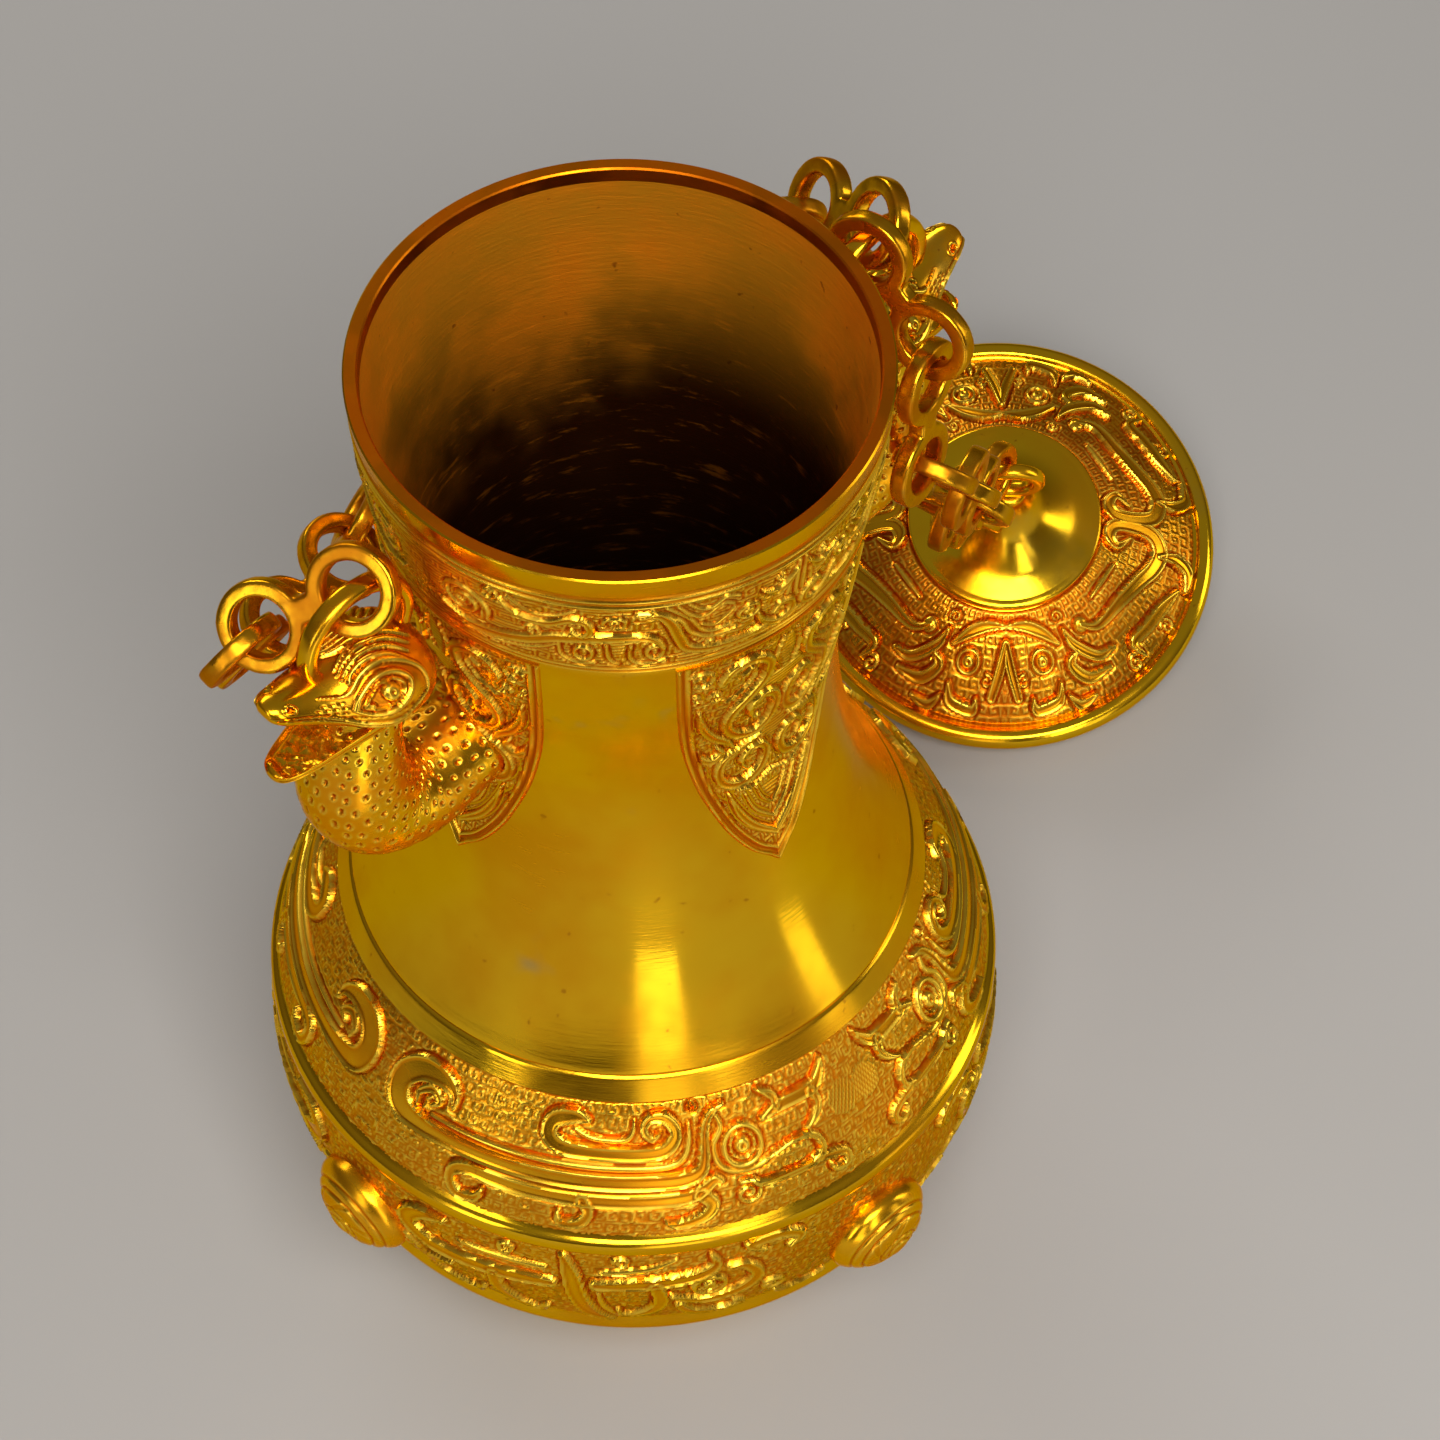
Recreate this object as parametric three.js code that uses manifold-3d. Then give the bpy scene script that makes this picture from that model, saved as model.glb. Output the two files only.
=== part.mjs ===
// Gilt bronze chain bottle: a pear-shaped vessel with serpent-head lugs, a carrying chain
// that hangs round the back of the neck, and a lid on a chain of its own.
// Millimetres, +Z up. The origin is the centre of the underside, and the heads lie on +X and -X.

import * as THREE from "three";
import { mergeVertices } from "three/addons/utils/BufferGeometryUtils.js";
import Module from "manifold-3d";

const wasm = await Module();
wasm.setup();

// Vessel
const wallGap = 0.3;
const turnSteps = 36;
const plateRadius = 42.3;
const plateThickness = 3;
const vesselHeight = 250;

// Whorl bosses on the lower register
const bossAzimuths = [-90, 0, 90, 180];
const bossSteps = 16;
const bossRadius = 11.2;
const bossHeight = 7;
const bossRoot = 5;
const bossCentre = { radius: 71.1, height: 52.5, droop: 10.6 };

// Serpent heads, given for the one on +X
const archCentre = new THREE.Vector3(60, 0, 228);
const archRadius = 10.5;
const archHalfThickness = 1.5;
const archHalfWidth = 1.9;
const archReach = 4.4;
const archTurn = { from: -25, sweep: 230, steps: 12 };
const serpentSides = 14;
const archSides = 8;

// Chain links: two round rings in one plane, joined at a short waist
const linkWire = 1.55;
const linkRing = 6.8;
const linkSpan = 32.2;
const linkPlay = 3.7;
const waist = { halfLength: 3.4, neckHalfLength: 1.2 };
const waistHalf = { endWidth: 2.6, neckWidth: 1.7, thickness: 1.35 };
const wireSides = 6;
const ringSteps = 12;

// How the chains hang: the place on the arch and the roll of the first link, then each link's
// compass heading from +X towards +Y and its drop below the horizontal, in degrees
const carryingLeft = { side: -1, arch: 106, roll: -4, ways: [[138, 32], [48, 54], [18, 7], [32, 1]] };
const carryingRight = { side: 1, arch: 78, roll: 26, ways: [[85, 29], [134, 26], [145, 26], [180, 0]] };
const lidRun = {
  side: 1,
  arch: 109,
  roll: -33,
  ways: [[-83, 39], [-143, 78], [18, 55], [31, 54], [71, 51], [29, 48], [68, 44], [15, 28]],
};

// Lid, as it lies beside the vessel with its plug's lower edge on the table
const lidRadius = 47.75;
const lidCentre = new THREE.Vector3(153.5, 49.7, 23.3);
const lidAxis = new THREE.Vector3(-0.226, -0.247, 0.942).normalize();
const lidEyeSide = new THREE.Vector3(0.74, -0.672, 0);
const eyeRing = 5.8;
const eyeWire = 1.6;
const eyeHeight = 42.2;
const eyeSides = 8;
const eyeSteps = 18;

// Outer profile of the vessel, radius and height, from the foot to the mouth
const outerProfile = [
  [46.2, 0], [46.2, 3], [44.6, 7], [43.5, 11], [43.7, 14.5], [46.5, 17], [55, 22], [60.2, 27],
  [64, 32.4], [65, 34.5], [66.8, 35.6], [67.6, 37.4], [67.5, 39.4], [67.3, 40.6], [69.2, 45],
  [71.1, 52], [72, 60], [71.7, 67], [71.2, 71.8], [72, 72.8], [71.9, 75.4], [70.6, 76.6], [69, 82],
  [65.5, 90], [61.4, 97], [57, 104], [54, 108.4], [48.8, 120], [43.2, 140], [39.2, 160], [38.6, 180],
  [41.1, 200], [43.7, 220], [45.7, 235], [47.2, 250],
];

// Inner profile, from the mouth down to the seat of the base plate
const innerProfile = [
  [44.6, 250], [43.1, 235], [41, 220], [38.3, 200], [35.8, 180], [36.4, 160], [40.3, 140],
  [45.8, 120], [53.4, 105], [62.3, 90], [67.6, 76], [69, 60], [66.2, 45], [60.6, 31.5],
  [52.5, 24.5], [42, 19.5], [40.4, 15], [40.4, 3.3], [42.6, 3.3], [42.6, 0],
];

const vector = (x, y, z) => new THREE.Vector3(x, y, z);

// Solids from three.js geometry, and back

function signedVolume(position, index) {
  const a = vector(0, 0, 0);
  const b = vector(0, 0, 0);
  const c = vector(0, 0, 0);
  let sum = 0;
  for (let i = 0; i < index.length; i += 3) {
    a.fromArray(position, 3 * index[i]);
    b.fromArray(position, 3 * index[i + 1]);
    c.fromArray(position, 3 * index[i + 2]);
    sum += a.dot(b.cross(c)) / 6;
  }
  return sum;
}

function solidOf(geometry) {
  const bare = geometry.clone();
  bare.deleteAttribute("normal");
  bare.deleteAttribute("uv");
  const merged = mergeVertices(bare, 1e-4);
  const position = new Float32Array(merged.attributes.position.array);
  const source = merged.index.array;
  const index = [];
  for (let i = 0; i < source.length; i += 3) {
    const [p, q, r] = [source[i], source[i + 1], source[i + 2]];
    if (p !== q && q !== r && r !== p) {
      index.push(p, q, r);
    }
  }
  if (signedVolume(position, index) < 0) {
    for (let i = 0; i < index.length; i += 3) {
      [index[i + 1], index[i + 2]] = [index[i + 2], index[i + 1]];
    }
  }
  const triangles = new Uint32Array(index);
  return new wasm.Manifold(new wasm.Mesh({ numProp: 3, vertProperties: position, triVerts: triangles }));
}

function geometryOf(solid) {
  const { vertProperties, triVerts } = solid.getMesh();
  const geometry = new THREE.BufferGeometry();
  geometry.setAttribute("position", new THREE.BufferAttribute(new Float32Array(vertProperties), 3));
  geometry.setIndex(new THREE.BufferAttribute(new Uint32Array(triVerts), 1));
  geometry.computeVertexNormals();
  return geometry;
}

function turned(profile, steps) {
  const points = profile.map(([radius, height]) => new THREE.Vector2(radius, height));
  return new THREE.LatheGeometry(points, steps).rotateX(Math.PI / 2);
}

// A skin over a row of closed sections with the same number of points, capped at both ends
function lofted(sections) {
  const sides = sections[0].length;
  const position = [];
  const index = [];
  for (const section of sections) {
    for (const point of section) {
      position.push(point.x, point.y, point.z);
    }
  }
  for (let i = 0; i + 1 < sections.length; i += 1) {
    for (let j = 0; j < sides; j += 1) {
      const next = (j + 1) % sides;
      const [p, q] = [i * sides + j, i * sides + next];
      index.push(p, q, q + sides, p, q + sides, p + sides);
    }
  }
  const last = (sections.length - 1) * sides;
  for (let j = 1; j + 1 < sides; j += 1) {
    index.push(0, j + 1, j, last, last + j, last + j + 1);
  }
  const geometry = new THREE.BufferGeometry();
  geometry.setAttribute("position", new THREE.Float32BufferAttribute(position, 3));
  geometry.setIndex(index);
  return geometry;
}

// An oval section across a path in the XZ plane: half its width along Y, half its height across the path
function ovalSection(centre, along, halfWidth, halfHeight, sides) {
  const across = vector(-along.z, 0, along.x).normalize();
  const points = [];
  for (let j = 0; j < sides; j += 1) {
    const angle = (2 * Math.PI * j) / sides;
    const point = centre.clone().addScaledVector(across, halfHeight * Math.sin(angle));
    point.y += halfWidth * Math.cos(angle);
    points.push(point);
  }
  return points;
}

function brass(color, roughness) {
  return new THREE.MeshStandardMaterial({ color, roughness, metalness: 1 });
}

const gilt = brass(0xd9a520, 0.3);
const giltRelief = brass(0xc98a1c, 0.42);
const giltChain = brass(0xd39a1f, 0.32);
const bronze = brass(0x9a5a1e, 0.5);

function named(name, geometry, material) {
  const mesh = new THREE.Mesh(geometry, material.clone());
  mesh.name = name;
  return mesh;
}

// Vessel and its base plate

function makeShell() {
  return named("bottle_shell", turned([...outerProfile, ...innerProfile, outerProfile[0]], turnSteps), gilt);
}

function makeBasePlate() {
  const profile = [[0, 0], [plateRadius, 0], [plateRadius, plateThickness], [0, plateThickness]];
  return named("base_plate", turned(profile, turnSteps), bronze);
}

// The space that the vessel fills, grown by the gap that applied pieces keep to it
function makeKeepOut() {
  const grown = outerProfile.map(([radius, height]) => [radius + wallGap, height]);
  return solidOf(turned([[0, 0], ...grown, [0, vesselHeight]], turnSteps));
}

const keepOut = makeKeepOut();

// Whorl bosses

function makeBoss(number, azimuth) {
  const profile = [
    [0, -bossRoot], [bossRadius, -bossRoot], [bossRadius, 0.8], [10.3, 2.4], [8.8, 4], [6.4, 5.7],
    [3.4, 6.7], [0, bossHeight],
  ];
  const dome = turned(profile, bossSteps);
  const tilt = THREE.MathUtils.degToRad(90 + bossCentre.droop);
  dome.rotateY(tilt).translate(bossCentre.radius, 0, bossCentre.height);
  dome.rotateZ(THREE.MathUtils.degToRad(azimuth));
  return named(`whorl_boss_${number}`, geometryOf(solidOf(dome).subtract(keepOut)), giltRelief);
}

// Serpent heads

function makeSerpent(name, turn) {
  const path = new THREE.CatmullRomCurve3([
    vector(32, 0, 180), vector(42, 0, 178.5), vector(52, 0, 177), vector(60, 0, 180.5),
    vector(63.5, 0, 189), vector(62, 0, 199), vector(58, 0, 208), vector(55.5, 0, 213),
  ]);
  const bodyRadii = [9.6, 9.8, 10.2, 10.6, 10.8, 10.6, 10.2, 9.8, 9.4, 8.8];
  const bodySections = bodyRadii.map((radius, i) => {
    const at = i / (bodyRadii.length - 1);
    return ovalSection(path.getPointAt(at), path.getTangentAt(at), radius, radius, serpentSides);
  });

  // Along the skull: how far out, how high, half its width and half its height
  const skull = [
    [47.5, 213.5, 5, 5], [50, 214.2, 8.4, 8], [54.5, 215.2, 10.6, 9.6], [60, 216, 11, 9.6],
    [65, 216.8, 9.4, 7.8], [70, 218.4, 6.8, 5.6], [75, 220.6, 4.7, 3.8], [79, 222.4, 3.4, 2.7],
    [80.6, 223, 1.8, 1.4],
  ];
  const jaw = [
    [56, 210.5, 8, 5], [63, 209.2, 7.6, 4.2], [69, 207.4, 6, 2.9], [75, 205.8, 4.6, 2.1],
    [79.2, 205.2, 3, 1.6], [80.6, 205.2, 1.4, 0.9],
  ];
  const stations = (rows) => rows.map(([out, up, halfWidth, halfHeight]) =>
    ovalSection(vector(out, 0, up), vector(1, 0, 0), halfWidth, halfHeight, serpentSides));

  // The strap arch over the head, that the chains pass through
  const archSections = [];
  for (let i = 0; i <= archTurn.steps; i += 1) {
    const angle = THREE.MathUtils.degToRad(archTurn.from + (archTurn.sweep * i) / archTurn.steps);
    const outward = vector(Math.cos(angle), 0, Math.sin(angle));
    const along = vector(-outward.z, 0, outward.x);
    const centre = archCentre.clone().addScaledVector(outward, archRadius);
    archSections.push(ovalSection(centre, along, archHalfWidth, archHalfThickness, archSides));
  }

  const whole = [bodySections, stations(skull), stations(jaw), archSections]
    .map((sections) => solidOf(lofted(sections)))
    .reduce((sum, part) => sum.add(part));
  const geometry = geometryOf(whole.subtract(keepOut));
  const mesh = named(name, geometry, giltRelief);
  mesh.rotation.z = turn;
  return mesh;
}

// Lid

const lidFrame = new THREE.Matrix4();
{
  const side = lidEyeSide.clone().addScaledVector(lidAxis, -lidEyeSide.dot(lidAxis)).normalize();
  const front = lidAxis.clone().cross(side);
  lidFrame.makeBasis(side, front, lidAxis).setPosition(lidCentre);
}

function makeLid() {
  const top = [
    [0, 36.6], [3.4, 36.4], [3.8, 33], [5, 28.6], [7.2, 24.8], [10.4, 21.9], [14.6, 20], [19.6, 19],
    [21.2, 18.6], [21.5, 17.2], [24.5, 16], [30.5, 12.6], [36.5, 8.4], [42, 3.9], [43.9, 1.9], [45, 2.5],
    [46.6, 2.3], [lidRadius, 1], [lidRadius, -1.2],
  ];
  const under = [
    [46.6, -1.5], [44, -1.5], [43.2, -8.4], [42.6, -9], [41.3, -9], [41, -1], [39.4, 1.8], [34, 6.6],
    [28, 10.8], [22, 14.2], [16, 16], [0, 16.6],
  ];
  const body = solidOf(turned([...top, ...under], turnSteps));
  const eye = new THREE.TorusGeometry(eyeRing, eyeWire, eyeSides, eyeSteps);
  eye.rotateX(Math.PI / 2).translate(0, 0, eyeHeight);
  const mesh = named("lid", geometryOf(body.add(solidOf(eye))), gilt);
  mesh.applyMatrix4(lidFrame);
  return mesh;
}

// Chain links

function makeLinkGeometry() {
  const ring = (centre) => {
    const torus = new THREE.TorusGeometry(linkRing, linkWire, wireSides, ringSteps);
    return solidOf(torus.translate(centre, 0, 0));
  };
  const stations = [
    [-waist.halfLength, waistHalf.endWidth], [-waist.neckHalfLength, waistHalf.neckWidth],
    [waist.neckHalfLength, waistHalf.neckWidth], [waist.halfLength, waistHalf.endWidth],
  ];
  const sections = stations.map(([offset, half]) => {
    const points = [];
    for (let j = 0; j < wireSides; j += 1) {
      const angle = (2 * Math.PI * j) / wireSides;
      const rise = waistHalf.thickness * Math.sin(angle);
      points.push(vector(linkSpan / 2 + offset, half * Math.cos(angle), rise));
    }
    return points;
  });
  return geometryOf(ring(linkRing).add(ring(linkSpan - linkRing)).add(solidOf(lofted(sections))));
}

const linkGeometry = makeLinkGeometry();

function pointing([heading, drop]) {
  const [turn, down] = [THREE.MathUtils.degToRad(heading), THREE.MathUtils.degToRad(drop)];
  return vector(Math.cos(turn) * Math.cos(down), Math.sin(turn) * Math.cos(down), -Math.sin(down));
}

// The first link of a run, round the bar of a serpent's arch
function linkOnArch({ side, arch, roll, ways }) {
  const angle = THREE.MathUtils.degToRad(arch);
  const barOut = archCentre.x + archRadius * Math.cos(angle);
  const bar = vector(side * barOut, 0, archCentre.z + archRadius * Math.sin(angle));
  const tangent = vector(-side * Math.sin(angle), 0, Math.cos(angle));
  const along = pointing(ways[0]);
  const normal = tangent.clone().addScaledVector(along, -tangent.dot(along)).normalize();
  normal.applyAxisAngle(along, THREE.MathUtils.degToRad(roll));
  return { start: bar.addScaledVector(along, -archReach), along, normal };
}

// The next link hangs from the side of the last one's ring that it pulls on, in a plane square to that ring
function linkAfter(last, way) {
  const along = pointing(way);
  const pull = along.clone().addScaledVector(last.normal, -along.dot(last.normal)).normalize();
  const ringCentre = last.start.clone().addScaledVector(last.along, linkSpan - linkRing);
  const held = ringCentre.addScaledVector(pull, linkRing);
  return { start: held.addScaledVector(along, -linkPlay), along, normal: last.normal.clone().cross(pull) };
}

function makeRun(prefix, run) {
  const places = [linkOnArch(run)];
  for (const way of run.ways.slice(1)) {
    places.push(linkAfter(places.at(-1), way));
  }
  return places.map(({ start, along, normal }, i) => {
    const mesh = named(`${prefix}_${i + 1}`, linkGeometry, giltChain);
    const across = normal.clone().cross(along);
    mesh.quaternion.setFromRotationMatrix(new THREE.Matrix4().makeBasis(along, across, normal));
    mesh.position.copy(start);
    return mesh;
  });
}

const bottle = new THREE.Group();
bottle.add(makeShell(), makeBasePlate());
bossAzimuths.forEach((azimuth, i) => bottle.add(makeBoss(i + 1, azimuth)));
bottle.add(makeSerpent("serpent_head_right", 0), makeSerpent("serpent_head_left", Math.PI));
bottle.add(...makeRun("left_chain_link", carryingLeft), ...makeRun("right_chain_link", carryingRight));
bottle.add(...makeRun("lid_chain_link", lidRun), makeLid());

export default bottle;
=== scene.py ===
# Gilt bronze chain bottle: the carved vessel, its serpent lugs, chains and lid, dressed round the frame.
# Lengths in the dictionaries are millimetres, angles are degrees. Meshes are written in metres.
import math

import bpy
import numpy as np
from mathutils import Matrix, Vector


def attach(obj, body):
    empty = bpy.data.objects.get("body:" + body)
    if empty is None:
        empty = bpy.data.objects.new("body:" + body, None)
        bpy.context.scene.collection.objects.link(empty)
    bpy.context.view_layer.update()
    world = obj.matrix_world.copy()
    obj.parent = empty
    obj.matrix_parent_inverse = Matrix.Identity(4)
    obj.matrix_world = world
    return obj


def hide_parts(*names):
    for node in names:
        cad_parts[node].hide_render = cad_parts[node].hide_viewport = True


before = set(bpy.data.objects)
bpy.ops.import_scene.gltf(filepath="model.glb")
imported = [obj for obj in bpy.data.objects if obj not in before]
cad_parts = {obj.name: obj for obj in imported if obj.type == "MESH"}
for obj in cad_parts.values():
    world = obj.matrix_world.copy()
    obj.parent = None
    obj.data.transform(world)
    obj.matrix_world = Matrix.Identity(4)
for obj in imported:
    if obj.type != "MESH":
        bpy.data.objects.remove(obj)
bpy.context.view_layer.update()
mm = 0.001
turn = 2 * math.pi


# Shaping helpers

def smoothStep(value):
    value = np.clip(value, 0, 1)
    return value * value * (3 - 2 * value)


def curveThrough(points, steps=8):
    # a smooth line through the points, doubled at both ends
    p = np.array([points[0], *points, points[-1]], float)
    out = []
    for a, b, c, d in zip(p[:-3], p[1:-2], p[2:-1], p[3:]):
        for t in np.arange(steps) / steps:
            out.append(0.5 * (2 * b + (c - a) * t + (2 * a - 5 * b + 4 * c - d) * t * t
                              + (3 * b - a - 3 * c + d) * t ** 3))
    return np.array([*out, p[-1]])


def profileThrough(runs, steps=8):
    # smooth runs of radius and height that meet in corners
    lines = [np.array(run, float) if len(run) == 2 else curveThrough(run, steps) for run in runs]
    return np.vstack([lines[0]] + [line[1:] for line in lines[1:]])


def evenly(line, count):
    # the same line with points at even spacing, and its length
    steps = np.r_[0, np.cumsum(np.linalg.norm(np.diff(line, axis=0), axis=1))]
    at = np.linspace(0, steps[-1], count)
    return np.stack([np.interp(at, steps, line[:, k]) for k in range(line.shape[1])], 1), steps[-1]


def spiral(x, y, outer, inner, start, turns, steps=40):
    # a flat spiral from its outer end inwards, turning left where turns is positive
    t = np.linspace(0, 1, steps)
    radius = outer + (inner - outer) * t
    angle = math.radians(start) + turn * turns * t
    return np.stack([x + radius * np.cos(angle), y + radius * np.sin(angle)], 1)


def ringLine(x, y, radius, steps=28):
    return spiral(x, y, radius, radius, 0, 1, steps)


# Carving: heights in millimetres over a flat pattern, kept with the pattern's own coordinates

def blankField(x, y):
    return {"x": x, "y": y, "cut": np.full(x.shape, 9.0), "height": np.zeros(x.shape)}


def outsideOf(field, line):
    # how far each point lies outside the stroke, negative inside it; a line holds x, y and half width
    half = line[:, 2]
    margin = half.max() + 2.5
    low, high = line[:, :2].min(0) - margin, line[:, :2].max(0) + margin
    x, y = field["x"], field["y"]
    near = np.nonzero((x > low[0]) & (x < high[0]) & (y > low[1]) & (y < high[1]))
    px, py = x[near], y[near]
    best = np.full(px.shape, 9.0)
    for p, q in zip(line[:-1], line[1:]):
        d = (q - p)[:2]
        t = np.clip(((px - p[0]) * d[0] + (py - p[1]) * d[1]) / max(d @ d, 1e-9), 0, 1)
        away = np.hypot(px - p[0] - t * d[0], py - p[1] - t * d[1])
        best = np.minimum(best, away - p[2] - (q[2] - p[2]) * t)
    return near, best


def withWidths(points, widths):
    # the widths are spread over the points, or given one by one
    places = np.linspace(0, 1, len(points))
    spread = np.interp(places, np.linspace(0, 1, len(widths)), widths)
    return np.column_stack([np.array(points, float)[:, :2], spread])


def raiseBand(field, line, rise=0.7, rim=0.2, groove=0.0):
    # a flat raised band with a bead along each edge, hollow between them, deeper where it is grooved
    near, outside = outsideOf(field, line)
    inside = -outside
    body = rise * smoothStep((inside + 0.16) / 0.4)
    bead = rim * np.exp(-((inside - 0.36) / 0.24) ** 2)
    hollow = (0.14 + groove) * smoothStep((inside - 0.55) / 0.5)
    raised = np.where(inside > -0.3, body + bead - hollow, 0)
    field["height"][near] = np.maximum(field["height"][near], raised)
    field["cut"][near] = np.minimum(field["cut"][near], outside)


def raiseRidge(field, line, rise=0.5):
    # a round-backed ridge
    near, outside = outsideOf(field, line)
    raised = rise * np.sqrt(np.clip(1 - (1 + outside / line[:, 2].max()) ** 2, 0, 1)) * (outside < 0)
    field["height"][near] = np.maximum(field["height"][near], raised)
    field["cut"][near] = np.minimum(field["cut"][near], outside)


def raiseRing(field, x, y, radius, half, rise):
    raiseRidge(field, withWidths(ringLine(x, y, radius), [half]), rise)


def boss(field, x, y, radius, rise, pit):
    # a domed stud with a small pit, as in the beasts' eyes
    away = np.hypot(field["x"] - x, field["y"] - y)
    dome = rise * np.sqrt(np.clip(1 - (away / radius) ** 2, 0, 1))
    dome = dome - 0.5 * rise * np.exp(-(away / pit) ** 2)
    field["height"] = np.where(away < radius, np.maximum(field["height"], dome), field["height"])
    field["cut"] = np.minimum(field["cut"], away - radius)


def leiwen(x, y, cell, rounds):
    # squared spirals, one to a cell, every other one turned the other way
    i, j = np.floor(x / cell), np.floor(y / cell)
    fx, fy = x / cell - i - 0.5, y / cell - j - 0.5
    fx = np.where((i + j) % 2 == 0, fx, -fx)
    square = np.maximum(np.abs(fx), np.abs(fy))
    return 0.5 + 0.5 * np.cos(turn * (2 * rounds * square - np.arctan2(fy, fx) / turn))


def wandering(x, y, scale, seed):
    # soft uneven waves from a fixed set of directions
    rng = np.random.default_rng(seed)
    total = np.zeros(x.shape)
    draws = rng.uniform(0, turn, 7), rng.uniform(0, turn, 7), rng.uniform(0.6, 1.8, 7)
    for angle, phase, stretch in zip(*draws):
        total += np.sin((x * math.cos(angle) + y * math.sin(angle)) * stretch / scale * turn + phase)
    return total / 7


def softened(height, times):
    # a light blur, closed round each row and held at the first and last row
    for _ in range(times):
        height = (np.roll(height, 1, 1) + np.roll(height, -1, 1) + 2 * height) / 4
        padded = np.pad(height, ((1, 1), (0, 0)), mode="edge")
        height = (padded[2:] + padded[:-2] + 2 * height) / 4
    return height


print("helpers ready")


# Mesh helpers

def gridFaces(rows, columns, closedRows, closedColumns):
    i = np.arange(rows if closedRows else rows - 1)
    j = np.arange(columns if closedColumns else columns - 1)
    a, b = np.meshgrid(i, j, indexing="ij")
    row, rowAfter, after = a * columns, (a + 1) % rows * columns, (b + 1) % columns
    return np.stack([row + b, row + after, rowAfter + after, rowAfter + b], -1).reshape(-1, 4)


def makePiece(name, points, quads, caps=(), flat=None, marks=None, sharp=35):
    # a closed mesh from points in millimetres; flat gives each quad corner its place in the pattern
    polygons = [list(cap) for cap in caps]
    pieces = [quads[:, [0, 1, 2]], quads[:, [0, 2, 3]]]
    pieces += [np.array([[cap[0], b, c] for b, c in zip(cap[1:-1], cap[2:])]) for cap in polygons]
    a, b, c = (points[np.concatenate(pieces)[:, k]] for k in range(3))
    if np.einsum("ij,ij->", a, np.cross(b, c)) < 0:
        quads = quads[:, ::-1]
        flat = None if flat is None else flat[:, ::-1]
        polygons = [cap[::-1] for cap in polygons]
    mesh = bpy.data.meshes.new(name)
    corners = np.concatenate([quads.ravel(), *[np.array(cap) for cap in polygons]]).astype(np.int32)
    sizes = np.r_[np.full(len(quads), 4), [len(cap) for cap in polygons]].astype(np.int32)
    mesh.vertices.add(len(points))
    mesh.vertices.foreach_set("co", (points * mm).astype(np.float32).ravel())
    mesh.loops.add(len(corners))
    mesh.loops.foreach_set("vertex_index", corners)
    mesh.polygons.add(len(sizes))
    mesh.polygons.foreach_set("loop_start", np.r_[0, np.cumsum(sizes)[:-1]].astype(np.int32))
    mesh.update(calc_edges=True)
    mesh.validate()
    if flat is not None:
        place = np.zeros((len(corners), 2), np.float32)
        place[:flat.shape[0] * 4] = flat.reshape(-1, 2)
        mesh.uv_layers.new(name="pattern").data.foreach_set("uv", place.ravel())
    for key, values in (marks or {}).items():
        layer = mesh.attributes.new(key, "FLOAT", "POINT")
        layer.data.foreach_set("value", values.astype(np.float32).ravel())
    mesh.shade_smooth()
    mesh.set_sharp_from_angle(angle=math.radians(sharp))
    piece = bpy.data.objects.new(name, mesh)
    bpy.context.scene.collection.objects.link(piece)
    return piece


def stepsRound(count):
    return np.arange(count) / count * turn


def aroundAxis(radius, angle, height):
    return np.stack(np.broadcast_arrays(radius * np.cos(angle), radius * np.sin(angle), height), -1)


def moved(points, place):
    # turned and carried from the piece's own frame to its place
    return points if place is None else points @ place[0].T + place[1]


def poleFans(count, steps):
    # triangles from the two pole points, which follow the grid's own, to its first and last rows
    top, bottom, last = count * steps, count * steps + 1, (count - 1) * steps
    fans = [[top, (j + 1) % steps, j] for j in range(steps)]
    return fans + [[bottom, last + j, last + (j + 1) % steps] for j in range(steps)]


def turnedRing(name, line, steps, **more):
    # a ring whose section is the closed line
    points = aroundAxis(line[:, :1], stepsRound(steps), line[:, 1:]).reshape(-1, 3)
    return makePiece(name, points, gridFaces(len(line), steps, True, True), **more)


def turnedSolid(name, line, steps, place=None, **more):
    # a solid whose outline starts and ends on the axis
    count = len(line) - 2
    points = aroundAxis(line[1:-1, :1], stepsRound(steps), line[1:-1, 1:]).reshape(-1, 3)
    points = np.vstack([points, [[0, 0, line[0][1]], [0, 0, line[-1][1]]]])
    quads = gridFaces(count, steps, False, True)
    return makePiece(name, moved(points, place), quads, poleFans(count, steps), **more)


def across(line):
    # unit normals to the left of a radius and height line
    d = np.gradient(line, axis=0)
    d /= np.linalg.norm(d, axis=1)[:, None]
    return np.stack([d[:, 1], -d[:, 0]], 1)


def finish(piece, material, body, slot, *replaced):
    piece.data.materials.clear()
    for one in material if isinstance(material, (list, tuple)) else [material]:
        piece.data.materials.append(one)
    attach(piece, body)
    if replaced:
        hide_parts(*replaced)


def marksOf(height, gutter, top):
    # what the finishes read: how deep, how raised at an edge, and where hollows lie; from these they paint
    # shade and dirt into the deep parts and hollows, and a highlight and wear onto the raised edges
    bulge = height - softened(height, 3)
    return {
        "recess": np.clip(1 - height / top, 0, 1),
        "wornAndLit": np.clip(bulge / 0.1, 0, 1),
        "crease": np.clip(np.maximum(-bulge / 0.12, gutter), 0, 1),
    }


ringEdge = {"rise": 0.1, "blend": 0.8, "sink": 0.9, "sinkWithin": 0.35, "thick": 1.3, "backing": 5}


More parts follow.
